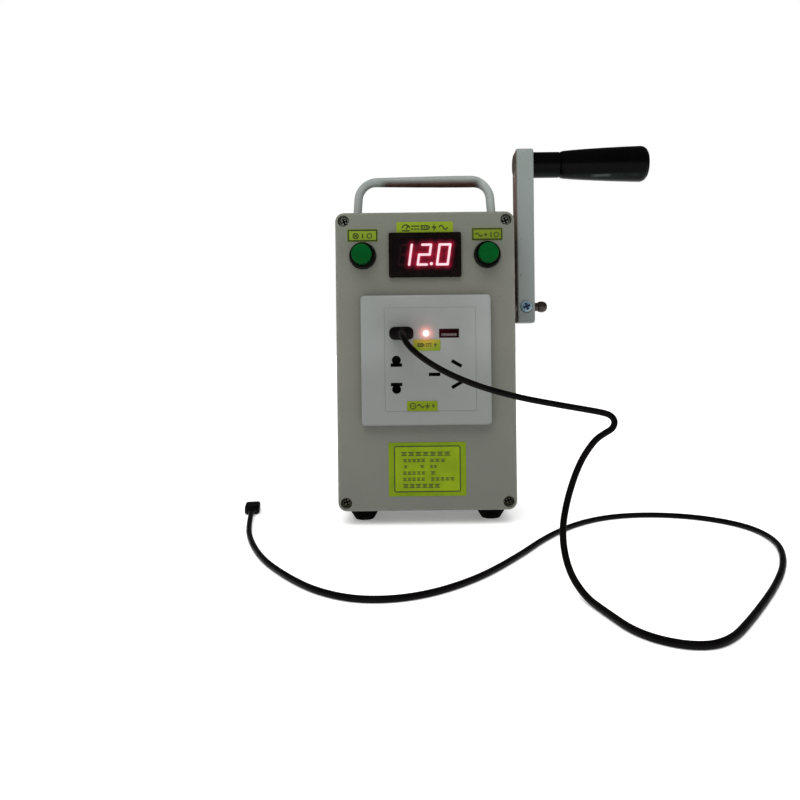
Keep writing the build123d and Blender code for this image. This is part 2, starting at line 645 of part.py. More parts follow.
# ---------------------------------------------------------------- crank shaft
shaft = cyl_x(32.0, 76.7, C0[0], C0[1], SHAFT_R)
shaft -= cyl_x(66.0, 80, C0[0], C0[1], 2.0)
shaft -= block(66.5, 74.5, -6, -3.4, CRANK_Z - 6, CRANK_Z + 6)
shaft += cyl_x(61.6, ARM_X0, C0[0], C0[1], 8.1)
save("crank_shaft", shaft)
end_screw = lathe_x(
    [
        (66.5, 0),
        (66.5, 2.0),
        (76.7, 2.0),
        (76.7, 5.4),
        (77.8, 5.4),
        (78.0, 5.1),
        (78.0, 3.1),
        (80.5, 3.0),
        (80.9, 3.5),
        (81.7, 3.8),
        (83.0, 3.95),
        (84.3, 3.9),
        (85.5, 3.5),
        (86.5, 2.7),
        (87.1, 1.7),
        (87.3, 0),
    ],
    C0[0],
    C0[1],
)
end_screw -= Pos(87.3, 0, CRANK_Z) * Rot(0, 90, 0) * cross(1.3, 3.6, 0.8)
# ------------------------------------------------------------------ crank arm
arm_sketch = Polygon(
    (-ARM_FOOT_HALF, CRANK_Z - ARM_BELOW),
    (ARM_FOOT_HALF, CRANK_Z - ARM_BELOW),
    (ARM_TOP_HALF, GRIP_Z + ARM_ABOVE),
    (-ARM_TOP_HALF, GRIP_Z + ARM_ABOVE),
    align=None,
)
arm_sketch = fillet(arm_sketch.vertices(), 3.2)
arm = slab_x(arm_sketch, ARM_X0, ARM_X1)
arm = fillet(
    arm.faces().sort_by(Axis.X)[0].edges() + arm.faces().sort_by(Axis.X)[-1].edges(), 1.2
)
arm -= cyl_x(ARM_X0 - 1, ARM_X1 + 1, 0, CRANK_Z, SHAFT_R)
arm -= cyl_x(76.7, ARM_X1 + 1, 0, CRANK_Z, 5.5)
arm -= cyl_x(ARM_X0 - 1, ARM_X1 + 1, 0, GRIP_Z, 4.0)
arm -= cyl_y(-20, -9.9, CLAMP_X, CRANK_Z, 4.35)
arm -= cyl_y(-20, 0, CLAMP_X, CRANK_Z, 2.0)
save("crank_arm", arm)
clamp = lathe_y(
    [(0, -12.9), (2.2, -12.75), (3.5, -12.1), (4.1, -11.2), (4.1, -9.9), (2.0, -9.9), (2.0, -3.5), (0, -3.5)],
    CLAMP_X,
    CRANK_Z,
)
clamp -= Pos(CLAMP_X, -12.9, CRANK_Z) * Rot(90, 0, 0) * Rot(0, 0, 20) * cross(1.8, 4.8, 1.25)
save("crank_fasteners", end_screw, clamp)

# ----------------------------------------------------------------------- grip
bolt = lathe_x(
    [
        (63.5, 0),
        (63.6, 3.2),
        (63.9, 5.8),
        (64.4, 7.6),
        (ARM_X0, 8.3),
        (ARM_X0, 4.0),
        (146.0, 4.0),
        (146.0, 3.0),
        (152.0, 3.0),
        (152.0, 0),
    ],
    0,
    GRIP_Z,
)
save(
    "grip_sleeve",
    lathe_x(
        [
            (ARM_X1, 4.0),
            (ARM_X1, 8.9),
            (ARM_X1 + 0.4, 9.1),
            (SLEEVE_X1 - 0.5, 9.1),
            (SLEEVE_X1, 8.7),
            (SLEEVE_X1, 4.0),
        ],
        0,
        GRIP_Z,
    ),
)
nut = slab_x(Pos(0, GRIP_Z) * RegularPolygon(6.2, 6), 147.4, 152.0) - cyl_x(
    140, 160, 0, GRIP_Z, 3.0
)
nut += ring_x(146.3, 147.4, 0, GRIP_Z, 6.4, 3.0)
save("grip_bolt", bolt, nut)
barrel = lathe_x(
    [
        (GRIP_X0, 4.06),
        (GRIP_X0, 8.6),
        (GRIP_X0 + 0.5, 9.1),
        (GRIP_X0 + 1.4, 9.5),
        (GRIP_X0 + 2.8, GRIP_R0),
        (GRIP_X0 + 9, GRIP_R0 + 0.55),
        (GRIP_X0 + 18, GRIP_R0 + 1.15),
        (GRIP_X0 + 30, GRIP_R0 + 1.8),
        (GRIP_X0 + 44, GRIP_R0 + 2.4),
        (GRIP_X1 - 5.0, GRIP_R1),
        (GRIP_X1 - 3.2, GRIP_R1 - 0.35),
        (GRIP_X1 - 1.6, GRIP_R1 - 1.4),
        (GRIP_X1 - 0.5, GRIP_R1 - 3.0),
        (GRIP_X1, GRIP_R1 - 4.8),
        (GRIP_X1, 7.0),
        (146.0, 7.0),
        (146.0, 4.06),
    ],
    0,
    GRIP_Z,
)
save(
    "grip_barrel", barrel, cyl_x(GRIP_X1 - 3.0, GRIP_X1 - 0.3, 0, GRIP_Z, 7.0)
)

# ------------------------------------------------------------------ generator
my, mz = C3
can = ring_x(-6.0, 33.9, my, mz, CAN_R, CAN_R - 1.4)
can += ring_x(32.4, 33.9, my, mz, CAN_R, 4.5)
save("generator_can", can)
bell = ring_x(-18.0, -6.0, my, mz, CAN_R, CAN_R - 2.5)
bell += ring_x(-18.0, -16.0, my, mz, CAN_R, 4.5)
arc = ring_x(-3.0, 28.0, my, mz, CAN_R - 1.45, 14.3)
arc -= block(-4, 29, my - 6, my + 6, mz - 20, mz + 20)
save("generator_magnets", *arc.solids())
save(
    "bronze_bushes",
    bush_out,
    bush_in,
    ring_x(31.0, 33.9, my, mz, 4.5, 1.64),
    ring_x(-18.0, -15.0, my, mz, 4.5, 1.64),
)
core = cyl_x(0.0, 24.0, my, mz, 13.2)
for k in range(5):
    t = 2 * math.pi * k / 5
    slot = Pos(my + 9 * math.cos(t), mz + 9 * math.sin(t)) * Circle(2.9)
    slot += (
        Pos(my + 12.2 * math.cos(t), mz + 12.2 * math.sin(t))
        * Rot(0, 0, math.degrees(t))
        * Rectangle(4.0, 1.8)
    )
    core -= slab_x(slot, -1, 25)
core += cyl_x(-18.6, 42.6, my, mz, 1.6)
save("rotor_core", core)
wind = []
for x0, x1 in ((-4.5, 0.0), (24.0, 28.5)):
    w = ring_x(x0, x1, my, mz, 11.4, 3.2)
    wind.append(fillet(w.edges().filter_by(GeomType.CIRCLE).group_by(SortBy.RADIUS)[-1], 1.2))
for k in range(5):
    t = 2 * math.pi * k / 5
    wind[0] += cyl_x(-0.5, 24.0, my + 9 * math.cos(t), mz + 9 * math.sin(t), 2.5)
comm = ring_x(-14.2, -7.0, my, mz, 4.0, 1.6)
for k in range(5):
    comm -= Pos(0, my, mz) * Rot(72 * k, 0, 0) * block(-15, -6, -0.25, 0.25, 3.0, 5)
save("rotor_windings", *wind, comm)
brushes = []
for s in (-1, 1):
    y0, y1 = sorted((my + s * 4.08, my + s * 14.5))
    brushes.append(block(-12.6, -9.0, y0, y1, mz - 1.8, mz + 1.8))
save("generator_end_bell", bell, *brushes)

# --------------------------------------------------------------- battery pack
bz = 24.8
cells = []
for k in (-1, 0, 1):
    c = cyl_x(-45.0, 18.6, k * 18.6, bz, 9.1)
    c = fillet(c.edges().filter_by(GeomType.CIRCLE), 0.8)
    c += cyl_x(18.6, 19.8, k * 18.6, bz, 2.8)
    cells.append(c)
save("battery_cells", *cells)
tray = block(-47.4, 22.2, -29.6, 29.6, 14.0, 30.0)
tray -= block(-45.2, 20.0, -28.0, 28.0, 15.6, 31.0)
for tx in (-28.0, 4.0):
    for ty in (-24.0, 24.0):
        tray += cyl_z(12.5, 14.5, tx, ty, 3.0)
save("battery_tray", tray)

# --------------------------------------------------------------- charge board
chg = block(-54.0, -52.4, -8.0, 26.0, 80.0, 134.0)
cc = [
    cyl_x(-52.4, -44.4, 2.0, 118.0, 6.5),
    cyl_x(-52.4, -40.4, 18.0, 122.0, 5.0),
    block(-52.4, -49.4, 6.0, 16.0, 92.0, 102.0),
    block(-52.4, -43.0, -6.0, 1.0, 88.0, 100.0),
    cyl_x(-52.4, -42.4, 21.0, 96.0, 3.2),
]
save("charge_board", chg, *cc)

# ------------------------------------------------------------- inverter board
core_t = block(-44.0, -18.0, 6.0, 26.9, 162.0, 184.0)
core_t -= block(-38.5, -23.5, 5.0, 28.0, 167.0, 179.0)
coil_t = block(-38.3, -23.7, 4.0, 26.9, 167.2, 178.8)
save("transformer", core_t, coil_t)
caps = [
    cyl_y(7.0, 26.9, -9.0, 190.0, 5.2),
    cyl_y(7.0, 26.9, 4.0, 190.0, 5.2),
    cyl_y(14.0, 26.9, -9.0, 160.0, 3.6),
]
sink = block(0.0, 26.0, 12.0, 14.0, 158.0, 180.0)
for k in range(6):
    sink += block(0.6 + 4.9 * k, 2.0 + 4.9 * k, 1.5, 12.5, 158.0, 180.0) & block(
        0, 26, 0, 14, 158, 180
    )
save("heat_sink", sink)
save(
    "inverter_board",
    block(-50.0, 28.0, 27.0, 28.6, 150.0, 198.0),
    *caps,
    block(2.0, 12.0, 14.05, 18.4, 162.0, 177.0),
    block(14.5, 24.5, 14.05, 18.4, 162.0, 177.0),
)

# --------------------------------------------------------------------- wiring
WIRE_R = 0.75


def wire(points):
    """A wire along straight runs with rounded corners."""
    p = [Vector(*q) for q in points]
    radii = []
    for i in range(1, len(p) - 1):
        a, b = p[i] - p[i - 1], p[i + 1] - p[i]
        turn = math.radians(a.get_angle(b))
        radii.append(
            min(6.0, 0.42 * min(a.length, b.length) / math.tan(turn / 2))
        )
    path = FilletPolyline(*[tuple(q) for q in p], radius=radii)
    start = Plane(origin=path @ 0, z_dir=path % 0)
    return sweep(start * Circle(WIRE_R), path=path, transition=Transition.ROUND)


red = [
    # battery to charge board
    wire([(-46.3, -12, 30.1), (-46.3, -12, 50), (-51.0, -3.0, 72), (-51.5, -3, 84)]),
    # generator to charge board
    wire([(-11, my + 10, mz - 15.2 - 3.2), (-22, my + 10, mz - 19), (-38, my + 4, 70), (-49, 4, 78), (-51.5, 4, 84)]),
    # charge board to inverter board
    wire([(-50.5, 12, 133), (-46.0, 18, 140), (-46, 25, 146), (-46.0, 26.2, 151.5)]),
    # inverter board to the outlets
    wire([(-14, 26.0, 152), (-14, 12, 146), (-14, -4, 138), (-14, -13.6, 128)]),
    # power button
    wire([(BUTTON_X - 6, -13, 183.4), (30, -4, 187), (29.5, 12, 196), (26.5, 25.5, 196.5)]),
    # lamp button to lamp
    wire([(-BUTTON_X, -14, 183.4), (-46, -4, 178), (-49.6, 4, 170), (-49.6, 7, 163)]),
]
black = [
    wire([(-46.3, -15, 30.1), (-46.3, -15, 50), (-50.5, -7.0, 74), (-51.5, -6.5, 84)]),
    wire([(-11, my - 10, mz - 18.4), (-24, my - 9, mz - 20), (-38, my - 8, 66), (-49, 0, 75), (-51.5, 0.6, 84)]),
    wire([(-50.5, 16, 133), (-43.0, 20, 140), (-42, 25, 146), (-42.0, 26.2, 151.5)]),
    wire([(-10, 26.0, 152), (-10, 12, 146), (-10, -4, 138), (-10, -13.6, 128)]),
    wire([(BUTTON_X - 6, -13, 178.6), (30, -6, 180), (28.8, 10, 186), (27, 25.5, 193.0)]),
    wire([(-BUTTON_X, -14, 178.6), (-46, -5, 174), (-49.2, 6, 166), (-49.6, 10, 158)]),
    wire([(14, mf + 17.2, 173.5), (14, -8, 172), (9, 2, 199), (-3, 20, 201.5), (-3, 26.1, 197.2)]),
]
save("wiring", *red, *black)

# ---------------------------------------------------------------------- cable
# A USB lead about 1.1 m long: plug in the left port, the cord forwards and to
# the right in an arch, down to the floor, a loop beside the enclosure, and
# past the front of it to the left, where the small plug lies.
ux = -USB_X
plug_shell = slab_y(rounded(12.0, 4.5, 0.4, ux, USB_Z), pf - 0.9, pf + 11.0)
plug_shell -= slab_y(rounded(11.4, 3.9, 0.3, ux, USB_Z), pf - 2.0, pf + 12.0)
save("usb_plug_shell", plug_shell)
body = slab_y(rounded(15.6, 8.4, 3.6, ux, USB_Z), pf - 20.9, pf - 0.9)
body = fillet(body.faces().sort_by(Axis.Y)[0].edges(), 1.2)
body += slab_y(rounded(11.3, 1.7, 0.3, ux, USB_Z + 1.05), pf - 1.5, pf + 10.6)
relief = lathe_y(
    [
        (0, pf - 20.9),
        (3.3, pf - 20.9),
        (3.1, pf - 24),
        (2.5, pf - 29),
        (2.1, pf - 33.9),
        (0, pf - 33.9),
    ],
    ux,
    USB_Z,
)
save("usb_plug_body", body + relief)

y_exit = pf - 33.9
F0 = CORD_D / 2 + 0.05  # height of the cord's centre on the floor
route = [
    (ux, y_exit, USB_Z),
    (ux + 0.2, -94.5, USB_Z - 0.6),
    (-7.0, -109.5, 120.5),
    (8.5, -117.0, 108.8),
    (28.0, -120.5, 99.8),
    (51.0, -122.5, 92.6),
    (76.0, -126.0, 87.2),
    (100.5, -130.5, 82.6),
    (97.6, -133.5, 69.0),
    (83.5, -138.0, 55.5),
    (73.5, -145.0, 40.0),
    (67.8, -155.5, 24.0),
    (68.0, -170.0, 10.0),
    (72.5, -187.0, F0 + 0.6),
    (78.0, -207.0, F0),
    (85.0, -232.0, F0),
    (101.0, -245.0, F0),
    (118.0, -242.0, F0),
    (140.0, -214.0, F0),
    (171.0, -170.0, F0),
    (193.0, -132.0, F0),
    (208.0, -92.0, F0),
    (207.0, -56.0, F0),
    (187.0, -30.0, F0),
    (158.0, -19.0, F0),
    (126.0, -23.0, F0),
    (98.0, -43.0, F0),
    (73.0, -76.0, F0),
    (50.0, -118.0, F0),
    (24.0, -158.0, F0),
    (-4.0, -183.0, F0),
    (-31.0, -188.0, F0),
    (-54.0, -175.0, F0),
    (-74.0, -150.0, F0),
    (-94.0, -117.0, F0),
    (-110.0, -76.0, F0),
    (-119.5, -40.0, F0),
    (-125.0, -8.0, 3.3),
]
cord, cord_radii, cord_length = route_tube(route, CORD_D / 2)
print("cord radii", [round(r, 1) for r in cord_radii])
print("cord length", round(cord_length, 1))
print(
    "cord volume", round(cord.volume, 1), "against", round(math.pi * (CORD_D / 2) ** 2 * cord_length, 1)
)
save("usb_cable", cord)

# the small plug at the far end, in line with the last run of the cord
end, before = Vector(*route[-1]), Vector(*route[-2])
heading = Vector(end.X - before.X, end.Y - before.Y, 0).normalized()
along = math.degrees(math.atan2(heading.Y, heading.X))
place = Pos(end.X, end.Y, end.Z) * Rot(0, 0, along)
mr = Plane.XZ * Polyline((0, 0), (0, 1.85), (3, 2.0), (9.0, 3.0), (9.0, 0), close=True)
mrelief = revolve(make_face(mr), Axis.X, 360)
mbody = Plane.YZ * RectangleRounded(10.7, 6.2, 1.6)
mbody = Pos(9.0, 0, 0) * extrude(mbody, 19.0)
save("micro_plug_body", place * (mbody + mrelief))
mshell = Pos(28.0, 0, 0) * extrude(Plane.YZ * RectangleRounded(6.9, 1.9, 0.6), 5.5)
mshell -= Pos(29.0, 0, 0) * extrude(Plane.YZ * RectangleRounded(6.3, 1.3, 0.4), 5.5)
save("micro_plug_shell", place * mshell)

print("shift", SHIFT_X, SHIFT_Y)
print("nodes", len(written))
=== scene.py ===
import math

import bmesh
import bpy
from mathutils import Matrix, Vector


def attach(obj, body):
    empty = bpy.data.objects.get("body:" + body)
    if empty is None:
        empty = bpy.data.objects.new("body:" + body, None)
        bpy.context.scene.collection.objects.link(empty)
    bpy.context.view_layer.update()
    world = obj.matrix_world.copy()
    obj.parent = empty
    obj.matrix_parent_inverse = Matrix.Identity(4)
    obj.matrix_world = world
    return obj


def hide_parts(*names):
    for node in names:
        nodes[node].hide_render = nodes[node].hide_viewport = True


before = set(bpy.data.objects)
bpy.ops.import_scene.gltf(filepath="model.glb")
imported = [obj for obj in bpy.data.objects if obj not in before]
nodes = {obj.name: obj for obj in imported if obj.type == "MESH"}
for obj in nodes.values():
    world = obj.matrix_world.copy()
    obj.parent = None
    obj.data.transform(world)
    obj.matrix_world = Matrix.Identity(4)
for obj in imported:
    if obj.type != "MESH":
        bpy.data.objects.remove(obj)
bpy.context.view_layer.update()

# Layout millimetres: X from the middle of the enclosure, Y into its face, Z from
# the floor. The row frame is the same, moved, in metres.
MM = 0.001
SX, SY = 48.3, -6.5
FACE = -37.5
PF = FACE - 8.0  # the outlet plate's face
INS = PF - 0.25  # the insert's face
USB_X, USB_Z = 15.2, 128.6
METER_Z = 181.0
MF = FACE - 3.5  # the meter bezel's face


def P(x, y, z):
    return Vector(((x - SX) * MM, (y - SY) * MM, z * MM))


# how brightly the studio lights a white upright face, against display white
LIT_BY = 1.52


def lin(r, g, b, lit=LIT_BY):
    """The albedo that shows as this 0 to 255 display colour under the studio's light."""
    out = []
    for c in (r, g, b):
        c = max(0.0, c) / 255
        out.append((c / 12.92 if c <= 0.04045 else ((c + 0.055) / 1.055) ** 2.4) / lit)
    return tuple(out)


scene = bpy.context.scene
scene.view_settings.view_transform = "Standard"
scene.view_settings.look = "None"

# -------------------------------------------------------------------- camera
cam_data = bpy.data.cameras.new("camera")
cam_data.sensor_width = 36.0
cam_data.lens = 748.0 / 800.0 * 36.0
cam_data.shift_x = -0.030
cam_data.shift_y = -0.06875
cam_data.clip_start, cam_data.clip_end = 0.01, 60.0
cam = bpy.data.objects.new("camera", cam_data)
scene.collection.objects.link(cam)
cam.matrix_world = (
    Matrix.Translation(P(-1.35, -537.5, 121.0))
    @ Matrix.Rotation(math.radians(0.65), 4, "Y")
    @ Matrix.Rotation(math.radians(90), 4, "X")
)
scene.camera = cam

# ---------------------------------------------------------------------- cord
CORD_D = 3.5
F0 = CORD_D / 2 + 0.05
UX = -USB_X
Y_EXIT = PF - 33.9
ROUTE = [
    (UX, Y_EXIT, USB_Z),
    (UX + 0.2, -94.5, USB_Z - 0.6),
    (-9.0, -109.5, 118.4),
    (7.5, -117.0, 106.8),
    (28.0, -120.5, 97.8),
    (51.0, -122.5, 91.2),
    (74.0, -125.5, 86.9),
    (88.0, -128.3, 84.5),
    (95.0, -129.6, 83.2),
    (99.8, -130.6, 81.8),
    (102.0, -131.5, 78.4),
    (100.4, -132.4, 74.6),
    (96.0, -133.4, 72.4),
    (89.6, -135.0, 68.6),
    (80.5, -139.0, 57.0),
    (72.6, -146.0, 39.5),
    (67.8, -155.5, 24.0),
    (68.0, -170.0, 10.0),
    (72.5, -187.0, F0 + 0.6),
    (78.0, -207.0, F0),
    (85.0, -232.0, F0),
    (101.0, -245.0, F0),
    (118.0, -242.0, F0),
    (140.0, -214.0, F0),
    (171.0, -170.0, F0),
    (193.0, -132.0, F0),
    (208.0, -92.0, F0),
    (207.0, -56.0, F0),
    (187.0, -30.0, F0),
    (158.0, -19.0, F0),
    (126.0, -23.0, F0),
    (98.0, -43.0, F0),
    (73.0, -76.0, F0),
    (50.0, -118.0, F0),
    (24.0, -158.0, F0),
    (-4.0, -183.0, F0),
    (-31.0, -188.0, F0),
    (-54.0, -175.0, F0),
    (-74.0, -150.0, F0),
    (-94.0, -117.0, F0),
    (-110.0, -76.0, F0),
    (-119.5, -40.0, F0),
    (-125.0, -8.0, 3.3),
]
lead = bpy.data.curves.new("usb_lead", "CURVE")
lead.dimensions = "3D"
lead.bevel_depth = CORD_D / 2 * MM
lead.bevel_resolution = 8
lead.resolution_u = 20
lead.use_fill_caps = True
spline = lead.splines.new("NURBS")
spline.points.add(len(ROUTE) - 1)
for point, q in zip(spline.points, ROUTE):
    point.co = (*P(*q), 1.0)
spline.order_u = 3
spline.use_endpoint_u = True
usb_lead = bpy.data.objects.new("usb_lead", lead)
scene.collection.objects.link(usb_lead)


# ----------------------------------------------------------- material builder
class Graph:
    """A node material with one Principled shader."""

    def __init__(self, name):
        self.material = bpy.data.materials.new(name)
        self.material.use_nodes = True
        self.tree = self.material.node_tree
        self.tree.nodes.clear()
        out = self.tree.nodes.new("ShaderNodeOutputMaterial")
        self.shader = self.tree.nodes.new("ShaderNodeBsdfPrincipled")
        self.tree.links.new(self.shader.outputs[0], out.inputs["Surface"])
        coords = self.tree.nodes.new("ShaderNodeTexCoord")
        self.where = coords.outputs["Object"]
        self._split = None

    def put(self, socket, value):
        if isinstance(value, bpy.types.NodeSocket):
            self.tree.links.new(value, socket)
        else:
            if socket.type == "RGBA" and len(value) == 3:
                value = (*value, 1.0)
            socket.default_value = value

    def set(self, **values):
        for key, value in values.items():
            self.put(self.shader.inputs[key.replace("_", " ")], value)

    def math(self, operation, a, b=None, c=None, clamp=False):
        n = self.tree.nodes.new("ShaderNodeMath")
        n.operation, n.use_clamp = operation, clamp
        for i, v in enumerate((a, b, c)):
            if v is not None:
                self.put(n.inputs[i], v)
        return n.outputs[0]

    def vector(self, operation, a, b=None, scale=None, value=False):
        n = self.tree.nodes.new("ShaderNodeVectorMath")
        n.operation = operation
        self.put(n.inputs[0], a)
        if b is not None:
            self.put(n.inputs[1], b)
        if scale is not None:
            self.put(n.inputs["Scale"], scale)
        return n.outputs["Value"] if value else n.outputs["Vector"]

    def split(self):
        if self._split is None:
            n = self.tree.nodes.new("ShaderNodeSeparateXYZ")
            self.tree.links.new(self.where, n.inputs[0])
            self._split = n
        return self._split.outputs

    def stretched(self, sx, sy, sz):
        return self.vector("MULTIPLY", self.where, (sx, sy, sz))

    def noise(self, scale, detail=2.0, rough=0.5, where=None, lacunarity=2.0):
        n = self.tree.nodes.new("ShaderNodeTexNoise")
        self.put(n.inputs["Vector"], where or self.where)
        n.inputs["Scale"].default_value = scale
        n.inputs["Detail"].default_value = detail
        n.inputs["Roughness"].default_value = rough
        n.inputs["Lacunarity"].default_value = lacunarity
        return n.outputs["Fac"]

    def cells(self, scale, where=None, feature="F1"):
        n = self.tree.nodes.new("ShaderNodeTexVoronoi")
        n.feature = feature
        self.put(n.inputs["Vector"], where or self.where)
        n.inputs["Scale"].default_value = scale
        return n.outputs["Distance"]

    def span(self, value, low, high, to_low=0.0, to_high=1.0, smooth=True):
        n = self.tree.nodes.new("ShaderNodeMapRange")
        n.interpolation_type = "SMOOTHSTEP" if smooth else "LINEAR"
        self.put(n.inputs["Value"], value)
        n.inputs["From Min"].default_value = low
        n.inputs["From Max"].default_value = high
        n.inputs["To Min"].default_value = to_low
        n.inputs["To Max"].default_value = to_high
        return n.outputs["Result"]

    def mix(self, factor, a, b, blend="MIX"):
        n = self.tree.nodes.new("ShaderNodeMix")
        n.data_type, n.blend_type = "RGBA", blend
        self.put(n.inputs[0], factor)
        self.put(n.inputs[6], a)
        self.put(n.inputs[7], b)
        return n.outputs[2]

    def bump(self, height, depth, strength=1.0, normal=None):
        n = self.tree.nodes.new("ShaderNodeBump")
        n.inputs["Strength"].default_value = strength
        n.inputs["Distance"].default_value = depth
        self.put(n.inputs["Height"], height)
        if normal is not None:
            self.put(n.inputs["Normal"], normal)
        return n.outputs["Normal"]

    def from_axis(self, axis, y, z):
        """Distance from a line along an axis, through row coordinates y and z of the other two."""
        x_, y_, z_ = self.split()
        a, b = {"X": (y_, z_), "Y": (x_, z_), "Z": (x_, y_)}[axis]
        da = self.math("SUBTRACT", a, y)
        db = self.math("SUBTRACT", b, z)
        return self.math(
            "SQRT", self.math("ADD", self.math("MULTIPLY", da, da), self.math("MULTIPLY", db, db))
        )

    def near_edges(self, centre, half, width):
        """1 on the edges of a box and 0 from width inside them."""
        closeness = []
        for out, c, h in zip(self.split(), centre, half):
            d = self.math("ABSOLUTE", self.math("SUBTRACT", out, c))
            closeness.append(self.span(d, h - width, h))
        a, b, c = closeness
        return self.math(
            "MAXIMUM",
            self.math("MULTIPLY", a, b),
            self.math("MAXIMUM", self.math("MULTIPLY", b, c), self.math("MULTIPLY", a, c)),
        )


def shade(color, k):
    return tuple(max(0.0, c * k) for c in color)


def surface(
    name,
    color,
    rough,
    metal=0.0,
    spec=0.5,
    vary=0.10,
    vary_scale=22.0,
    grain=0.06,
    grain_scale=1400.0,
    grain_depth=2e-5,
    rough_vary=0.08,
    scuff=0.0,
    tint=None,
    stretch=None,
    coat=0.0,
):
    """A plain material: mottled colour, uneven gloss and a fine moulded grain."""
    g = Graph(name)
    where = g.stretched(*stretch) if stretch else g.where
    broad = g.noise(vary_scale, 4.0, 0.6, where)
    fine = g.noise(grain_scale, 3.0, 0.6, where)
    base = g.mix(
        g.span(broad, 0.3, 0.7, smooth=False),
        shade(color, 1 - vary),
        shade(tint or color, 1 + vary),
    )
    base = g.mix(
        g.span(fine, 0.35, 0.65, 0.0, grain * 4, smooth=False), base, shade(color, 0.72)
    )
    g.set(
        Base_Color=base,
        Metallic=metal,
        Roughness=g.math(
            "ADD",
            g.span(g.noise(vary_scale * 4, 3.0, 0.6, where), 0.3, 0.7, rough - rough_vary, rough + rough_vary),
            g.span(fine, 0.3, 0.7, -0.03, 0.03),
        ),
    )
    g.set(Specular_IOR_Level=spec, Coat_Weight=coat)
    height = fine
    if scuff:
        lines = g.noise(260.0, 2.0, 0.7, g.stretched(9.0, 9.0, 0.7))
        height = g.math("ADD", fine, g.math("MULTIPLY", g.span(lines, 0.62, 0.7), scuff))
    g.set(Normal=g.bump(height, grain_depth))
    return g.material


# ------------------------------------------------------------------ materials
def make_abs():
    g = Graph("abs_enclosure")
    col = lin(118, 119, 109)
    x, y, z = g.split()
    broad = g.noise(14.0, 5.0, 0.6)
    fine = g.noise(1500.0, 3.0, 0.65)
    base = g.mix(g.span(broad, 0.3, 0.7), shade(col, 0.96), shade(lin(120, 120, 109), 1.04))
    base = g.mix(g.span(z, 0.15, 0.21, 0.0, 0.8), base, lin(115, 119, 106))
    # painted shade: the face is darker towards the bottom of the box
    base = g.mix(g.span(z, 0.01, 0.13, 0.7, 0.0), base, lin(105, 107, 99))
    base = g.mix(g.span(fine, 0.3, 0.7, 0.0, 0.16), base, shade(col, 0.7))
    centre, half = P(0, 0, 110), (0.060, 0.0375, 0.100)
    worn = g.math(
        "MULTIPLY",
        g.near_edges(centre, half, 0.0022),
        g.span(g.noise(160.0, 4.0, 0.7), 0.4, 0.62),
    )
    base = g.mix(g.math("MULTIPLY", worn, 0.35), base, lin(158, 158, 148))
    dirt = g.math("MULTIPLY", g.span(g.noise(420.0, 2.0, 0.5), 0.70, 0.76), 0.45)
    base = g.mix(dirt, base, lin(70, 68, 58))
    g.set(
        Base_Color=base,
        Roughness=g.span(g.noise(40.0, 4.0, 0.6), 0.3, 0.7, 0.44, 0.60),
        Specular_IOR_Level=0.38,
    )
    scratch = g.span(g.noise(120.0, 2.0, 0.7, g.stretched(1.0, 1.0, 14.0)), 0.66, 0.72)
    height = g.math("SUBTRACT", fine, g.math("MULTIPLY", scratch, 0.5))
    g.set(Normal=g.bump(height, 4.5e-5))
    return g.material


LED_AT = (P(0, 0, 0).x, USB_Z * MM)


def make_outlet(name, halo=True):
    g = Graph(name)
    col = lin(137, 141, 138)
    x, y, z = g.split()
    fine = g.noise(2600.0, 2.0, 0.5)
    base = g.mix(g.span(g.noise(24.0, 4.0, 0.6), 0.3, 0.7), shade(col, 0.95), shade(lin(143, 145, 143), 1.03))
    # painted highlight: paler towards its right and left edges; painted shade: darker over its lower part
    base = g.mix(g.span(x, P(16, 0, 0).x, P(42, 0, 0).x, 0.0, 0.7), base, lin(151, 154, 152))
    base = g.mix(g.span(x, P(-43, 0, 0).x, P(-26, 0, 0).x, 0.6, 0.0), base, lin(140, 147, 144))
    base = g.mix(g.span(z, 0.095, 0.125, 0.85, 0.0), base, lin(129, 132, 129))
    g.set(
        Base_Color=base,
        Roughness=g.span(g.noise(60.0, 3.0, 0.6), 0.3, 0.7, 0.30, 0.36),
        Specular_IOR_Level=0.3,
        Normal=g.bump(fine, 6e-6),
    )
    if halo:
        # painted glow: the indicator's red light is painted onto the plate as emission around the LED
        d = g.from_axis("Y", *LED_AT)
        wide = g.math("POWER", g.span(d, 0.0015, 0.0078, 1.0, 0.0, smooth=False), 2.2)
        g.set(
            Emission_Color=g.mix(g.span(d, 0.0019, 0.0042), (1.0, 0.50, 0.46), (1.0, 0.17, 0.15)),
            Emission_Strength=g.math("MULTIPLY", wide, 0.66),
        )
    return g.material


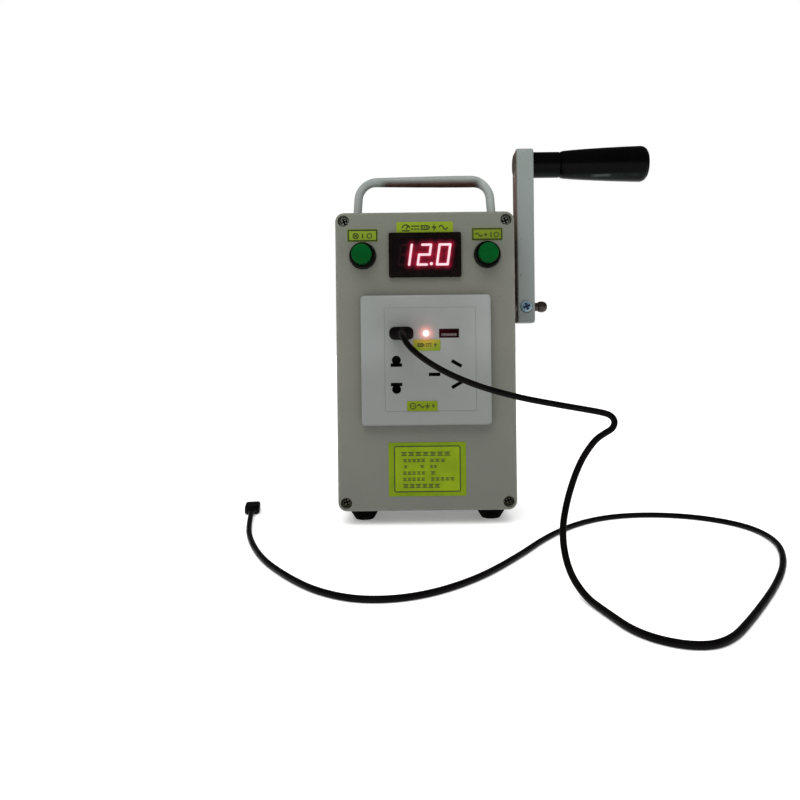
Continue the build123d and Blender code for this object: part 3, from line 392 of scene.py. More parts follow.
def make_label():
    g = Graph("label_vinyl")
    col = lin(124, 147, 8)
    x, y, z = g.split()
    base = g.mix(g.span(g.noise(60.0, 4.0, 0.6), 0.3, 0.7), shade(col, 0.90), shade(lin(130, 152, 12), 1.05))
    # the upper labels are a little paler and less yellow than the rating label
    base = g.mix(g.span(z, 0.06, 0.185, 0.0, 0.8), base, lin(134, 156, 40))
    fibre = g.noise(900.0, 3.0, 0.7, g.stretched(1.0, 1.0, 3.0))
    base = g.mix(g.span(fibre, 0.4, 0.7, 0.0, 0.25), base, lin(104, 126, 10))
    # each print is a little different in tone
    upper = g.span(z, 0.186, 0.188)
    right = g.span(x, P(26, 0, 0).x, P(28, 0, 0).x)
    base = g.mix(g.math("MULTIPLY", upper, right), base, (0.745, 0.735, 0.84), blend="MULTIPLY")
    left = g.span(x, P(-28, 0, 0).x, P(-26, 0, 0).x, 1.0, 0.0)
    base = g.mix(g.math("MULTIPLY", upper, left), base, (0.91, 0.94, 1.25), blend="MULTIPLY")
    middle = g.math("MULTIPLY", g.span(z, 0.064, 0.066), g.span(z, 0.098, 0.100, 1.0, 0.0))
    base = g.mix(middle, base, (0.79, 0.775, 0.66), blend="MULTIPLY")
    usb = g.math("MULTIPLY", g.span(z, 0.110, 0.112), g.span(z, 0.134, 0.136, 1.0, 0.0))
    base = g.mix(usb, base, (0.80, 0.83, 1.9), blend="MULTIPLY")
    low = g.span(z, 0.060, 0.062, 1.0, 0.0)
    base = g.mix(low, base, (1.07, 1.09, 0.70), blend="MULTIPLY")
    off = g.math(
        "MAXIMUM",
        g.span(g.math("ABSOLUTE", g.math("SUBTRACT", x, P(0, 0, 0).x)), 0.0208, 0.0228),
        g.span(g.math("ABSOLUTE", g.math("SUBTRACT", z, 0.0382)), 0.0142, 0.0158),
    )
    base = g.mix(g.math("MULTIPLY", low, off), base, (0.76, 0.79, 0.72), blend="MULTIPLY")
    # painted glow: the indicator's red light is painted onto the label as emission
    d = g.from_axis("Y", *LED_AT)
    g.set(Emission_Color=(1.0, 0.16, 0.05, 1.0), Emission_Strength=g.span(d, 0.0040, 0.0130, 0.22, 0.0))
    g.set(
        Base_Color=base,
        Roughness=g.span(g.noise(90.0, 3.0, 0.6), 0.3, 0.7, 0.38, 0.52),
        Specular_IOR_Level=0.12,
        Normal=g.bump(fibre, 8e-6),
    )
    return g.material


def make_arm():
    g = Graph("arm_paint")
    col = lin(140, 149, 145)
    x, y, z = g.split()
    top, foot = 0.250, 0.134
    base = g.mix(g.span(g.noise(30.0, 4.0, 0.6), 0.3, 0.7), shade(col, 0.94), shade(lin(140, 148, 146), 1.05))
    base = g.mix(g.span(z, 0.150, top, 0.85, 0.0, smooth=False), base, lin(132, 138, 135))
    base = g.mix(g.span(z, foot, 0.156, 0.9, 0.0), base, lin(114, 119, 117))
    streak = g.noise(70.0, 3.0, 0.65, g.stretched(6.0, 6.0, 0.6))
    base = g.mix(g.span(streak, 0.55, 0.75, 0.0, 0.25), base, lin(112, 116, 116))
    # painted shade: the top end of the arm is darker, where its rounded edge turns away
    base = g.mix(g.span(z, 0.2578, 0.2588, 0.0, 0.65), base, lin(98, 94, 88))
    # rubbed edges of a straight bar
    cx = P(71.1, 0, 0).x
    side = g.span(g.math("ABSOLUTE", g.math("SUBTRACT", x, cx)), 0.0047, 0.0061)
    chip = g.span(g.noise(240.0, 4.0, 0.7), 0.56, 0.62)
    base = g.mix(g.math("MULTIPLY", g.math("MULTIPLY", side, chip), 0.5), base, lin(96, 88, 80))
    spots = g.span(g.noise(330.0, 2.0, 0.5), 0.715, 0.74)
    base = g.mix(g.math("MULTIPLY", spots, 0.75), base, lin(66, 58, 52))
    # the inner side is painted rust-brown: rust, and painted shade standing in for the shade on that face
    inner = g.span(x, P(65.02, 0, 0).x, P(65.5, 0, 0).x, 1.0, 0.0)
    rust = g.mix(g.span(g.noise(110.0, 5.0, 0.7), 0.35, 0.65), lin(98, 66, 54), lin(140, 104, 88))
    base = g.mix(g.math("MULTIPLY", inner, 0.85), base, rust)
    g.set(
        Base_Color=base,
        Roughness=g.math(
            "ADD", g.span(g.noise(80.0, 4.0, 0.6), 0.3, 0.7, 0.36, 0.50), g.math("MULTIPLY", inner, 0.2)
        ),
        Specular_IOR_Level=0.45,
    )
    orange_peel = g.noise(520.0, 3.0, 0.5)
    height = g.math("SUBTRACT", orange_peel, g.math("MULTIPLY", spots, 1.6))
    g.set(Normal=g.bump(height, 3e-5))
    return g.material


def make_handle():
    g = Graph("handle_paint")
    col = lin(149, 156, 153)
    x, y, z = g.split()
    base = g.mix(g.span(g.noise(45.0, 4.0, 0.6), 0.3, 0.7), shade(col, 0.94), shade(col, 1.04))
    # painted shade and grime: the underside of the bar is painted dark brown, where the fingers close round it
    under = g.span(z, 0.2352, 0.2404, 1.0, 0.0)
    along = g.span(g.math("ABSOLUTE", g.math("SUBTRACT", x, P(5, 0, 0).x)), 0.030, 0.040, 1.0, 0.0)
    grime_and_painted_shade = g.math("MULTIPLY", g.math("MULTIPLY", under, along), 0.95)
    tone = g.mix(g.span(g.noise(120.0, 4.0, 0.7), 0.35, 0.65), lin(54, 24, 16), lin(80, 52, 36))
    base = g.mix(grime_and_painted_shade, base, tone)
    # painted highlight: the bar is paler towards its right end and, less, towards its left end
    base = g.mix(g.span(x, P(37, 0, 0).x, P(43, 0, 0).x, 0.0, 0.9), base, lin(173, 181, 177))
    base = g.mix(g.span(x, P(-46, 0, 0).x, P(-41, 0, 0).x, 0.5, 0.0), base, lin(164, 168, 166))
    g.set(
        Base_Color=base,
        Roughness=g.span(g.noise(70.0, 4.0, 0.6), 0.3, 0.7, 0.34, 0.50),
        Specular_IOR_Level=g.span(grime_and_painted_shade, 0.0, 1.0, 0.40, 0.04),
        Normal=g.bump(g.noise(700.0, 3.0, 0.6), 1.6e-5),
    )
    return g.material


def make_grip():
    g = Graph("grip_phenolic")
    x, y, z = g.split()
    col = lin(5, 5, 5)
    base = g.mix(g.span(g.noise(40.0, 4.0, 0.6), 0.3, 0.7), shade(col, 0.8), shade(col, 1.3))
    dust = g.span(g.noise(900.0, 3.0, 0.6), 0.66, 0.74)
    base = g.mix(g.math("MULTIPLY", dust, 0.10), base, lin(60, 56, 52))
    rub = g.noise(34.0, 4.0, 0.7, g.stretched(5.0, 1.0, 1.0))
    # painted reflection: a paler line along the front, below the middle, broken up by the rubbed texture
    fore = g.span(y, P(0, -6, 0).y, P(0, -2, 0).y, 1.0, 0.0)
    low = g.math("ADD", z, g.span(x, P(96, 0, 0).x, P(99, 0, 0).x, -0.0012, 0.0))
    line = g.math("MULTIPLY", g.span(low, 0.2380, 0.2392), g.span(low, 0.2404, 0.2416, 1.0, 0.0))
    line = g.math("MULTIPLY", g.math("MULTIPLY", line, fore), g.span(rub, 0.25, 0.6, 0.35, 1.0))
    base = g.mix(line, base, lin(25, 31, 30))
    # painted highlight: a short, paler streak within that line
    gloss = g.math("MULTIPLY", g.span(z, 0.2390, 0.2396), g.span(z, 0.2403, 0.2409, 1.0, 0.0))
    short = g.math("MULTIPLY", g.span(x, P(117, 0, 0).x, P(123, 0, 0).x), g.span(x, P(130, 0, 0).x, P(134, 0, 0).x, 1.0, 0.0))
    base = g.mix(g.math("MULTIPLY", g.math("MULTIPLY", gloss, short), fore), base, lin(70, 74, 74))
    g.set(
        Base_Color=base,
        Roughness=g.span(rub, 0.3, 0.7, 0.16, 0.28),
        Specular_IOR_Level=0.04,
    )
    hair = g.span(g.noise(300.0, 2.0, 0.7, g.stretched(0.5, 5.0, 5.0)), 0.66, 0.72)
    seam = g.span(g.math("ABSOLUTE", g.math("SUBTRACT", y, P(0, 0, 0).y)), 0.0, 0.00025, 1.0, 0.0)
    height = g.math("ADD", g.math("MULTIPLY", hair, -0.5), seam)
    g.set(Normal=g.bump(height, 1.2e-5))
    return g.material


def make_cap():
    g = Graph("button_green")
    col = lin(0, 75, 27)
    base = g.mix(g.span(g.noise(150.0, 4.0, 0.6), 0.3, 0.7), shade(col, 0.88), shade(lin(0, 78, 28), 1.08))
    worn = g.span(g.noise(260.0, 4.0, 0.7), 0.60, 0.68)
    x, y, z = g.split()
    rim = g.span(y, P(0, -50.5, 0).y, P(0, -49.9, 0).y, 1.0, 0.0)
    base = g.mix(g.math("MULTIPLY", g.math("MULTIPLY", worn, rim), 0.22), base, lin(40, 104, 62))
    g.set(
        Base_Color=base,
        Roughness=g.span(g.noise(120.0, 3.0, 0.6), 0.3, 0.7, 0.34, 0.46),
        Specular_IOR_Level=0.04,
        Normal=g.bump(g.noise(1600.0, 3.0, 0.6), 1.2e-5),
    )
    return g.material


def make_cable():
    g = Graph("cable_jacket")
    col = lin(8, 6, 6)
    base = g.mix(g.span(g.noise(60.0, 4.0, 0.6), 0.3, 0.7), shade(col, 0.8), shade(lin(11, 9, 9), 1.15))
    dust = g.span(g.noise(1200.0, 3.0, 0.6), 0.62, 0.72)
    base = g.mix(g.math("MULTIPLY", dust, 0.10), base, lin(70, 64, 58))
    g.set(
        Base_Color=base,
        Roughness=g.span(g.noise(80.0, 3.0, 0.6), 0.3, 0.7, 0.40, 0.54),
        Specular_IOR_Level=0.05,
        # painted glow: the indicator's red light is painted onto the jacket near the outlet as a faint emission
        Emission_Color=(1.0, 0.03, 0.045, 1.0),
        Emission_Strength=g.math(
            "MULTIPLY",
            g.span(g.from_axis("Y", *LED_AT), 0.0072, 0.0108, 0.040, 0.0),
            g.span(g.split()[1], P(0, PF - 20, 0).y, P(0, PF - 3, 0).y, 0.12, 1.0),
        ),
        Normal=g.bump(g.noise(1500.0, 3.0, 0.6), 2.2e-5),
    )
    return g.material


def make_screw(name, color, rough=0.34, rust=0.35, brown=lin(74, 50, 36), metal=0.7, cross=None):
    g = Graph(name)
    base = g.mix(g.span(g.noise(260.0, 4.0, 0.6), 0.3, 0.7), shade(color, 0.85), shade(color, 1.1))
    spots = g.span(g.noise(520.0, 4.0, 0.7), 0.52, 0.66)
    base = g.mix(g.math("MULTIPLY", spots, rust), base, brown)
    # painted shade: a dark blue cross and centre painted on the clamp screw's head, where its recess lies in shade
    if cross:
        x, y, z = g.split()
        u, v = g.math("SUBTRACT", x, cross[0]), g.math("SUBTRACT", z, cross[1])
        c, n = math.cos(math.radians(20)), math.sin(math.radians(20))
        a = g.math("ABSOLUTE", g.math("ADD", g.math("MULTIPLY", u, c), g.math("MULTIPLY", v, n)))
        b = g.math("ABSOLUTE", g.math("SUBTRACT", g.math("MULTIPLY", v, c), g.math("MULTIPLY", u, n)))
        star = g.math(
            "MULTIPLY",
            g.span(g.math("MINIMUM", a, b), 0.00070, 0.00110, 1.0, 0.0),
            g.span(g.math("MAXIMUM", a, b), 0.0021, 0.0028, 1.0, 0.0),
        )
        heart = g.span(g.from_axis("Y", *cross), 0.0013, 0.0019, 1.0, 0.0)
        base = g.mix(g.math("MAXIMUM", star, heart), base, lin(34, 74, 118))
    g.set(
        Base_Color=base,
        Metallic=g.span(spots, 0.0, 1.0, metal, metal * 0.5),
        Roughness=g.math("ADD", g.span(g.noise(500.0, 3.0, 0.6), 0.3, 0.7, rough - 0.08, rough + 0.10), g.math("MULTIPLY", spots, 0.25)),
        Normal=g.bump(g.noise(1800.0, 4.0, 0.7), 1.5e-5),
    )
    return g.material


def make_port():
    """The inside of a USB port, with the indicator's red light painted into its colour and as a faint glow."""
    g = Graph("port_inside")
    base = g.mix(g.noise(300.0, 3.0), lin(26, 9, 11), lin(38, 14, 17))
    x, y, z = g.split()
    g.set(
        Base_Color=base,
        Roughness=0.5,
        Specular_IOR_Level=0.15,
        # painted glow: a faint red emission, stronger towards the indicator
        Emission_Color=(1.0, 0.02, 0.09, 1.0),
        Emission_Strength=g.span(x, P(7, 0, 0).x, P(23, 0, 0).x, 0.022, 0.006),
    )
    return g.material


def make_tongue():
    g = Graph("port_tongue")
    x, y, z = g.split()
    ticks = g.math("SINE", g.math("MULTIPLY", g.math("SUBTRACT", x, P(USB_X, 0, 0).x), 2 * math.pi / 0.0025))
    base = g.mix(g.noise(300.0, 3.0), lin(118, 108, 108), lin(136, 124, 122))
    base = g.mix(g.span(ticks, 0.35, 0.6, 0.0, 0.6), base, lin(84, 76, 62))
    g.set(Base_Color=base, Roughness=g.span(g.noise(200.0, 3.0), 0.3, 0.7, 0.36, 0.46), Specular_IOR_Level=0.3)
    return g.material


def make_lid_screw():
    g = Graph("lid_screw")
    x, y, z = g.split()
    # painted light: the heads take a brighter albedo (lit 1.0) against the shade of their deep counterbores; the
    # lower screws' heads are darker and yellower than the upper ones
    pale = g.mix(g.span(g.noise(420.0, 4.0, 0.6), 0.35, 0.65), lin(150, 153, 143, 1.0), lin(186, 190, 180, 1.0))
    dull = g.mix(g.span(g.noise(380.0, 4.0, 0.7), 0.35, 0.65), lin(96, 94, 74, 1.0), lin(138, 136, 118, 1.0))
    across = g.math("SUBTRACT", x, P(0, 0, 0).x)
    up = g.math("SUBTRACT", z, 0.110)
    u = g.math("SUBTRACT", across, g.math("MULTIPLY", g.math("SIGN", across), 0.0544))
    v = g.math("SUBTRACT", up, g.math("MULTIPLY", g.math("SIGN", up), 0.0944))
    c, n = math.cos(math.radians(20)), math.sin(math.radians(20))
    a = g.math("ABSOLUTE", g.math("ADD", g.math("MULTIPLY", u, c), g.math("MULTIPLY", v, n)))
    b = g.math("ABSOLUTE", g.math("SUBTRACT", g.math("MULTIPLY", v, c), g.math("MULTIPLY", u, n)))
    # painted shade with dirt: each head's cross recess is darkened
    grime_and_painted_shade = g.math(
        "MULTIPLY",
        g.span(g.math("MINIMUM", a, b), 0.00050, 0.00085, 1.0, 0.0),
        g.span(g.math("MAXIMUM", a, b), 0.00215, 0.00265, 1.0, 0.0),
    )
    head = g.mix(g.span(z, 0.05, 0.18), dull, pale)
    g.set(
        Base_Color=g.mix(grime_and_painted_shade, head, lin(26, 26, 20)),
        Metallic=0.15,
        Roughness=g.span(g.noise(600.0, 3.0, 0.6), 0.3, 0.7, 0.34, 0.5),
        Normal=g.bump(g.noise(1800.0, 4.0, 0.7), 1.5e-5),
    )
    return g.material


def make_rubber():
    g = Graph("foot_rubber")
    col = lin(3, 3, 2)
    x, y, z = g.split()
    base = g.mix(g.span(g.noise(90.0, 4.0, 0.6), 0.3, 0.7), shade(col, 0.8), shade(col, 1.3))
    dusty = g.math("MULTIPLY", g.span(z, 0.0, 0.004, 0.30, 0.0), g.span(g.noise(300.0, 4.0, 0.7), 0.4, 0.6))
    base = g.mix(dusty, base, lin(64, 60, 54))
    g.set(
        Base_Color=base,
        Roughness=g.span(g.noise(120.0, 3.0, 0.6), 0.3, 0.7, 0.62, 0.76),
        Specular_IOR_Level=0.03,
        Normal=g.bump(g.noise(1100.0, 3.0, 0.6), 3.5e-5),
    )
    return g.material


def make_black(name, color, rough, spec=0.35, scale=1800.0):
    return surface(
        name, color, rough, spec=spec, vary=0.25, vary_scale=60.0, grain=0.02,
        grain_scale=scale, grain_depth=1.5e-5, rough_vary=0.06,
    )


def make_window(name="meter_window", tone=1.0):
    g = Graph(name)
    base = g.mix(
        g.span(g.noise(90.0, 4.0, 0.6), 0.3, 0.7), shade(lin(10, 5, 7), tone), shade(lin(15, 7, 10), tone)
    )
    lit = g.tree.nodes.new("ShaderNodeAttribute")
    lit.attribute_name = "glow"
    g.set(
        Base_Color=base,
        Roughness=g.span(g.noise(120.0, 3.0, 0.6), 0.3, 0.7, 0.10, 0.16),
        Specular_IOR_Level=0.2,
        Emission_Color=(1.0, 0.022, 0.095, 1.0),
        Emission_Strength=lit.outputs["Fac"],
        Normal=g.bump(g.noise(900.0, 2.0, 0.5), 3e-6),
    )
    return g.material


def make_light(name, color, strength, base=(0.2, 0.02, 0.03), vary=0.06):
    g = Graph(name)
    g.set(
        Base_Color=g.mix(g.noise(400.0, 2.0, 0.5), shade(base, 0.9), base),
        Roughness=0.4,
        Specular_IOR_Level=0.1,
        Emission_Color=(*color, 1.0),
        Emission_Strength=g.span(g.noise(300.0, 2.0, 0.5), 0.3, 0.7, strength * (1 - vary), strength * (1 + vary)),
    )
    return g.material


def make_ink():
    g = Graph("label_ink")
    base = g.mix(g.span(g.noise(700.0, 4.0, 0.7), 0.35, 0.65), lin(34, 44, 6), lin(56, 70, 10))
    g.set(
        Base_Color=base,
        Roughness=g.span(g.noise(300.0, 3.0, 0.6), 0.3, 0.7, 0.42, 0.55),
        Specular_IOR_Level=0.3,
    )
    return g.material


def make_board(name, green=(0.012, 0.075, 0.03)):
    g = Graph(name)
    base = g.mix(g.span(g.noise(60.0, 4.0, 0.6), 0.3, 0.7), shade(green, 0.8), shade(green, 1.2))
    track = g.span(g.cells(420.0, g.stretched(1.0, 1.0, 1.0)), 0.02, 0.09, 0.5, 0.0)
    base = g.mix(track, base, (0.10, 0.16, 0.05))
    g.set(
        Base_Color=base,
        Roughness=g.span(g.noise(200.0, 3.0, 0.6), 0.3, 0.7, 0.30, 0.45),
        Normal=g.bump(g.noise(900.0, 3.0, 0.6), 2e-5),
    )
    return g.material


M = {
    "abs": make_abs(),
    "outlet": make_outlet("outlet_plastic"),
    "label": make_label(),
    "ink": make_ink(),
    "arm": make_arm(),
    "handle": make_handle(),
    "grip": make_grip(),
    "cap": make_cap(),
    "cable": make_cable(),
    "rubber": make_rubber(),
    "screw": make_screw("screw_zinc", lin(128, 126, 112), 0.36, 0.55, lin(52, 44, 30)),
    "blue_screw": make_screw("screw_blue_zinc", lin(150, 178, 188), 0.32, 0.10, lin(60, 100, 140), 0.35, (P(71.1, 0, 0).x, 0.1474)),
    # painted shade: a dark blue copy of the clamp screw's zinc for the faces in its cross recess
    "blue_recess": make_screw("screw_blue_recess", lin(14, 50, 92), 0.4, 0.10, lin(8, 24, 60), 0.1),
    "lid_screw": make_lid_screw(),
    # painted shade: near-black for the faces inside the lid screws' cross recesses
    "recess": make_black("screw_recess", lin(18, 17, 12), 0.6, 0.1),
    "contact_dark": make_screw("contact_tarnished", lin(34, 28, 20), 0.5, 0.6, lin(10, 8, 6), 0.4),
    "port_rim": make_screw("port_rim", lin(70, 62, 64), 0.36, 0.2, lin(40, 34, 34), 0.6),
    "port_inside": make_port(),
    "nut": make_screw("nut_browned", lin(70, 62, 58), 0.30, 0.7, lin(52, 36, 28)),
    "bolt": make_screw("bolt_blackened", lin(118, 106, 98), 0.34, 0.5, lin(70, 48, 40)),
    "shaft": make_screw("shaft_steel", lin(96, 94, 90), 0.34, 0.5, lin(52, 42, 34)),
    "black": make_black("button_black", lin(7, 8, 4), 0.40, 0.04),
    "bezel": make_black("bezel_black", lin(12, 7, 4), 0.32, 0.08),
    "inside_black": make_black("outlet_inside", lin(6, 6, 6), 0.6, 0.1),
    "window": make_window(),
    "steel": surface("zinc_sheet", lin(150, 150, 150), 0.34, metal=1.0, stretch=(1, 1, 0.1), vary=0.12, grain_depth=1e-5),
    "nickel": surface("nickel_shell", lin(168, 168, 170), 0.22, metal=1.0, vary=0.08, grain_depth=4e-6),
    "brass": surface("brass", lin(196, 164, 92), 0.30, metal=1.0, vary=0.12, grain_depth=8e-6),
    "bronze": surface("bronze", lin(150, 112, 70), 0.46, metal=1.0, vary=0.15, grain=0.1),
    "gear": surface("gear_steel", lin(140, 140, 142), 0.36, metal=1.0, vary=0.15),
    "nylon": surface("gear_nylon", lin(216, 210, 194), 0.42, vary=0.05),
    "copper": surface("copper_wire", lin(180, 100, 58), 0.34, metal=1.0, vary=0.15, stretch=(6, 1, 1)),
    "ferrite": surface("ferrite", lin(48, 48, 52), 0.55, vary=0.15),
    "laminate": surface("laminated_steel", lin(128, 128, 130), 0.42, metal=1.0, stretch=(12, 0.5, 0.5), vary=0.25),
    "cell": surface("cell_sleeve", lin(36, 82, 140), 0.30, vary=0.06),
    "sink": surface("aluminium_sink", lin(176, 176, 178), 0.34, metal=1.0, stretch=(1, 1, 0.1)),
    "wire": surface("wire_red", lin(150, 24, 20), 0.42, vary=0.08),
    "wire_black": surface("wire_black", lin(16, 15, 15), 0.42, vary=0.15),
    "pcb": make_board("circuit_board"),
    "part": surface("component_case", lin(34, 34, 36), 0.44, vary=0.2),
    "seal": surface("gasket_rubber", lin(26, 26, 25), 0.7, vary=0.2, spec=0.25),
    "tongue": make_tongue(),
}


def lens_material():
    g = Graph("lamp_lens")
    d = g.from_axis("X", P(0, 8.0, 0).y, 0.160)
    rings = g.math("SINE", g.math("MULTIPLY", d, 7800.0))
    g.set(
        Base_Color=g.mix(g.noise(60.0, 3.0), (0.80, 0.83, 0.84), (0.90, 0.92, 0.92)),
        Roughness=g.span(g.noise(200.0, 3.0), 0.3, 0.7, 0.05, 0.12),
        Normal=g.bump(rings, 5e-5),
    )
    g.set(Transmission_Weight=0.92, IOR=1.49)
    return g.material


def lamp_led_material():
    g = Graph("lamp_emitter")
    x, y, z = g.split()
    centre = g.math(
        "MAXIMUM",
        g.math("ABSOLUTE", g.math("SUBTRACT", y, P(0, 8.0, 0).y)),
        g.math("ABSOLUTE", g.math("SUBTRACT", z, 0.160)),
    )
    chip = g.span(centre, 0.0015, 0.0019, 1.0, 0.0)
    g.set(
        Base_Color=g.mix(chip, lin(206, 206, 204), lin(222, 186, 44)),
        Roughness=g.span(g.noise(500.0, 3.0), 0.3, 0.7, 0.38, 0.5),
        Normal=g.bump(g.noise(1200.0, 3.0), 1e-5),
    )
    return g.material


def indicator_material():
    g = Graph("indicator_lit")
    d = g.from_axis("Y", *LED_AT)
    g.set(
        Base_Color=g.mix(g.noise(300.0, 2.0), (0.8, 0.3, 0.3), (0.9, 0.4, 0.4)),
        Roughness=0.3,
        Emission_Color=(1.0, 0.66, 0.60, 1.0),
        Emission_Strength=g.span(d, 0.0, 0.0021, 2.6, 1.1),
    )
    return g.material


M["lens"] = lens_material()
M["emitter"] = lamp_led_material()
M["indicator"] = indicator_material()


def dress(node, *materials, by=None):
    """Gives a CAD node its materials. by(x, y, z), in layout millimetres, says which one a face takes."""
    o = nodes[node]
    o.data.materials.clear()
    for m in materials:
        o.data.materials.append(m)
    for f in o.data.polygons:
        if by:
            c = f.center
            f.material_index = by(c.x / MM + SX, c.y / MM + SY, c.z / MM)
        else:
            f.material_index = 0


PLAIN = {
    "rear_case": "abs", "front_lid": "abs", "lid_gasket": "seal",
    "foot_and_handle_screws": "screw",
    "carry_handle": "handle", "rubber_feet": "rubber",
    "voltmeter_bezel": "bezel", "lamp_button_body": "black", "power_button_body": "black",
    "lamp_button_cap": "cap", "power_button_cap": "cap",
    "lamp_button_spring": "steel", "power_button_spring": "steel", "panel_nuts": "steel",
    "socket_plate": "outlet", "socket_insert": "outlet", "socket_housing": "inside_black",
    "usb_indicator": "indicator",
    "labels": "label", "lamp_bezel": "black", "lamp_lens": "lens", "lamp_led": "emitter",
    "gearbox_plate_inner": "steel", "gearbox_plate_outer": "steel",
    "gearbox_pins_and_standoffs": "steel", "gearbox_screws": "screw",
    "bronze_bushes": "bronze", "crank_gear": "gear", "compound_gear_1": "gear",
    "compound_gear_2": "nylon", "motor_pinion": "brass", "crank_shaft": "shaft",
    "crank_arm": "arm", "grip_bolt": "bolt", "grip_sleeve": "grip", "grip_barrel": "grip",
    "generator_can": "steel", "generator_end_bell": "black", "generator_magnets": "ferrite",
    "rotor_core": "laminate", "rotor_windings": "copper", "battery_cells": "cell",
    "battery_tray": "black", "transformer": "ferrite", "heat_sink": "sink",
    "usb_plug_shell": "nickel", "micro_plug_shell": "nickel", "usb_cable": "cable",
    "usb_plug_body": "cable", "micro_plug_body": "cable", "voltmeter_window": "window",
}
for node, key in PLAIN.items():
    dress(node, M[key])


# painted shade: faces inside the clamp screw's cross recess take the dark blue recess material (index 2)
def clamp_tone(x, y, z):
    if y > -9.8:
        return 0
    return 2 if y > -12.75 and math.hypot(x - 71.1, z - 147.4) < 2.6 else 1


dress("crank_fasteners", M["nut"], M["blue_screw"], M["blue_recess"], by=clamp_tone)
# painted shade: faces inside each lid screw's cross recess take the near-black recess material
dress(
    "lid_and_outlet_screws", M["lid_screw"], M["recess"],
    by=lambda x, y, z: 1 if y > FACE + 4.85 and math.hypot(abs(x) - 54.4, abs(z - 110) - 94.4) < 2.4 else 0,
)
dress("socket_contacts", M["contact_dark"])
dress("charge_board", M["pcb"], M["part"], by=lambda x, y, z: 0 if x < -52.3 else 1)
dress("inverter_board", M["pcb"], M["part"], by=lambda x, y, z: 0 if y > 26.95 else 1)
dress("voltmeter_board", M["pcb"], M["part"], by=lambda x, y, z: 1 if y < MF + 9.75 or y > MF + 11.45 else 0)
dress("usb_board", M["pcb"], M["tongue"], by=lambda x, y, z: 1 if y < PF + 14.9 else 0)
dress("usb_ports", M["port_rim"], M["port_inside"], by=lambda x, y, z: 0 if y < PF + 0.3 else 1)
dress("wiring", M["wire"])


# ------------------------------------------------------------------ mesh tools
def finish_mesh(name, bm, material, body="housing", slot=None, smooth=None, replaces=()):
    bmesh.ops.recalc_face_normals(bm, faces=bm.faces)
    mesh = bpy.data.meshes.new(name)
    if smooth is not None:
        limit = math.radians(smooth)
        for f in bm.faces:
            f.smooth = True
        for e in bm.edges:
            e.smooth = not (e.is_manifold and e.calc_face_angle(0.0) > limit)
    bm.to_mesh(mesh)
    bm.free()
    mesh.materials.append(material)
    o = bpy.data.objects.new(name, mesh)
    scene.collection.objects.link(o)
    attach(o, body)
    if replaces:
        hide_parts(*replaces)
    return o


def prism(bm, loop, y0, y1):
    """A flat shape in (X, Z) layout millimetres, made solid from y0 to y1."""
    front = [bm.verts.new(P(x, y0, z)) for x, z in loop]
    back = [bm.verts.new(P(x, y1, z)) for x, z in loop]
    bm.faces.new(front)
    bm.faces.new(back[::-1])
    n = len(loop)
    for i in range(n):
        j = (i + 1) % n
        bm.faces.new((front[i], back[i], back[j], front[j]))


def band(bm, outer, inner, y0, y1, closed=True):
    """The strip between two lines of as many points, made solid from y0 to y1."""
    n = len(outer)
    grid = [
        [bm.verts.new(P(x, y, z)) for x, z in loop]
        for y in (y0, y1)
        for loop in (outer, inner)
    ]
    of, inf, ob, inb = grid
    last = n if closed else n - 1
    for i in range(last):
        j = (i + 1) % n
        bm.faces.new((of[i], of[j], inf[j], inf[i]))
        bm.faces.new((ob[i], inb[i], inb[j], ob[j]))
        bm.faces.new((of[i], ob[i], ob[j], of[j]))
        bm.faces.new((inf[i], inf[j], inb[j], inb[i]))
    if not closed:
        for k in (0, n - 1):
            bm.faces.new((of[k], inf[k], inb[k], ob[k]))


def rounded_loop(w, h, r, cx=0.0, cz=0.0, n=5):
    """A rounded rectangle of 4 n points, anticlockwise."""
    r = min(r, w / 2, h / 2)
    out = []
    for sx, sz, start in ((1, 1, 0), (-1, 1, 90), (-1, -1, 180), (1, -1, 270)):
        for k in range(n):
            t = math.radians(start + 90 * k / (n - 1))
            out.append(
                (cx + sx * (w / 2 - r) + r * math.cos(t), cz + sz * (h / 2 - r) + r * math.sin(t))
            )
    return out


def arc(cx, cz, r, a0, a1, n=16):
    return [
        (cx + r * math.cos(math.radians(a0 + (a1 - a0) * k / n)), cz + r * math.sin(math.radians(a0 + (a1 - a0) * k / n)))
        for k in range(n + 1)
    ]


def stroke(bm, line, width, y0, y1):
    """A line of points drawn with a pen of that width."""
    left, right = [], []
    for i, (x, z) in enumerate(line):
        a = line[max(0, i - 1)]
        b = line[min(len(line) - 1, i + 1)]
        dx, dz = b[0] - a[0], b[1] - a[1]
        d = math.hypot(dx, dz) or 1.0
        nx, nz = -dz / d * width / 2, dx / d * width / 2
        left.append((x + nx, z + nz))
        right.append((x - nx, z - nz))
    band(bm, left, right, y0, y1, closed=False)


def loft(name, sections, place, material, **kw):
    """Closed skin through rings of as many points; place turns (u, v, along) into a row point."""
    bm = bmesh.new()
    rings = [[bm.verts.new(place(u, v, t)) for u, v in ring] for t, ring in sections]
    n = len(rings[0])
    for a, b in zip(rings, rings[1:]):
        for i in range(n):
            j = (i + 1) % n
            bm.faces.new((a[i], a[j], b[j], b[i]))
    bm.faces.new(rings[0][::-1])
    bm.faces.new(rings[-1])
    return finish_mesh(name, bm, material, **kw)


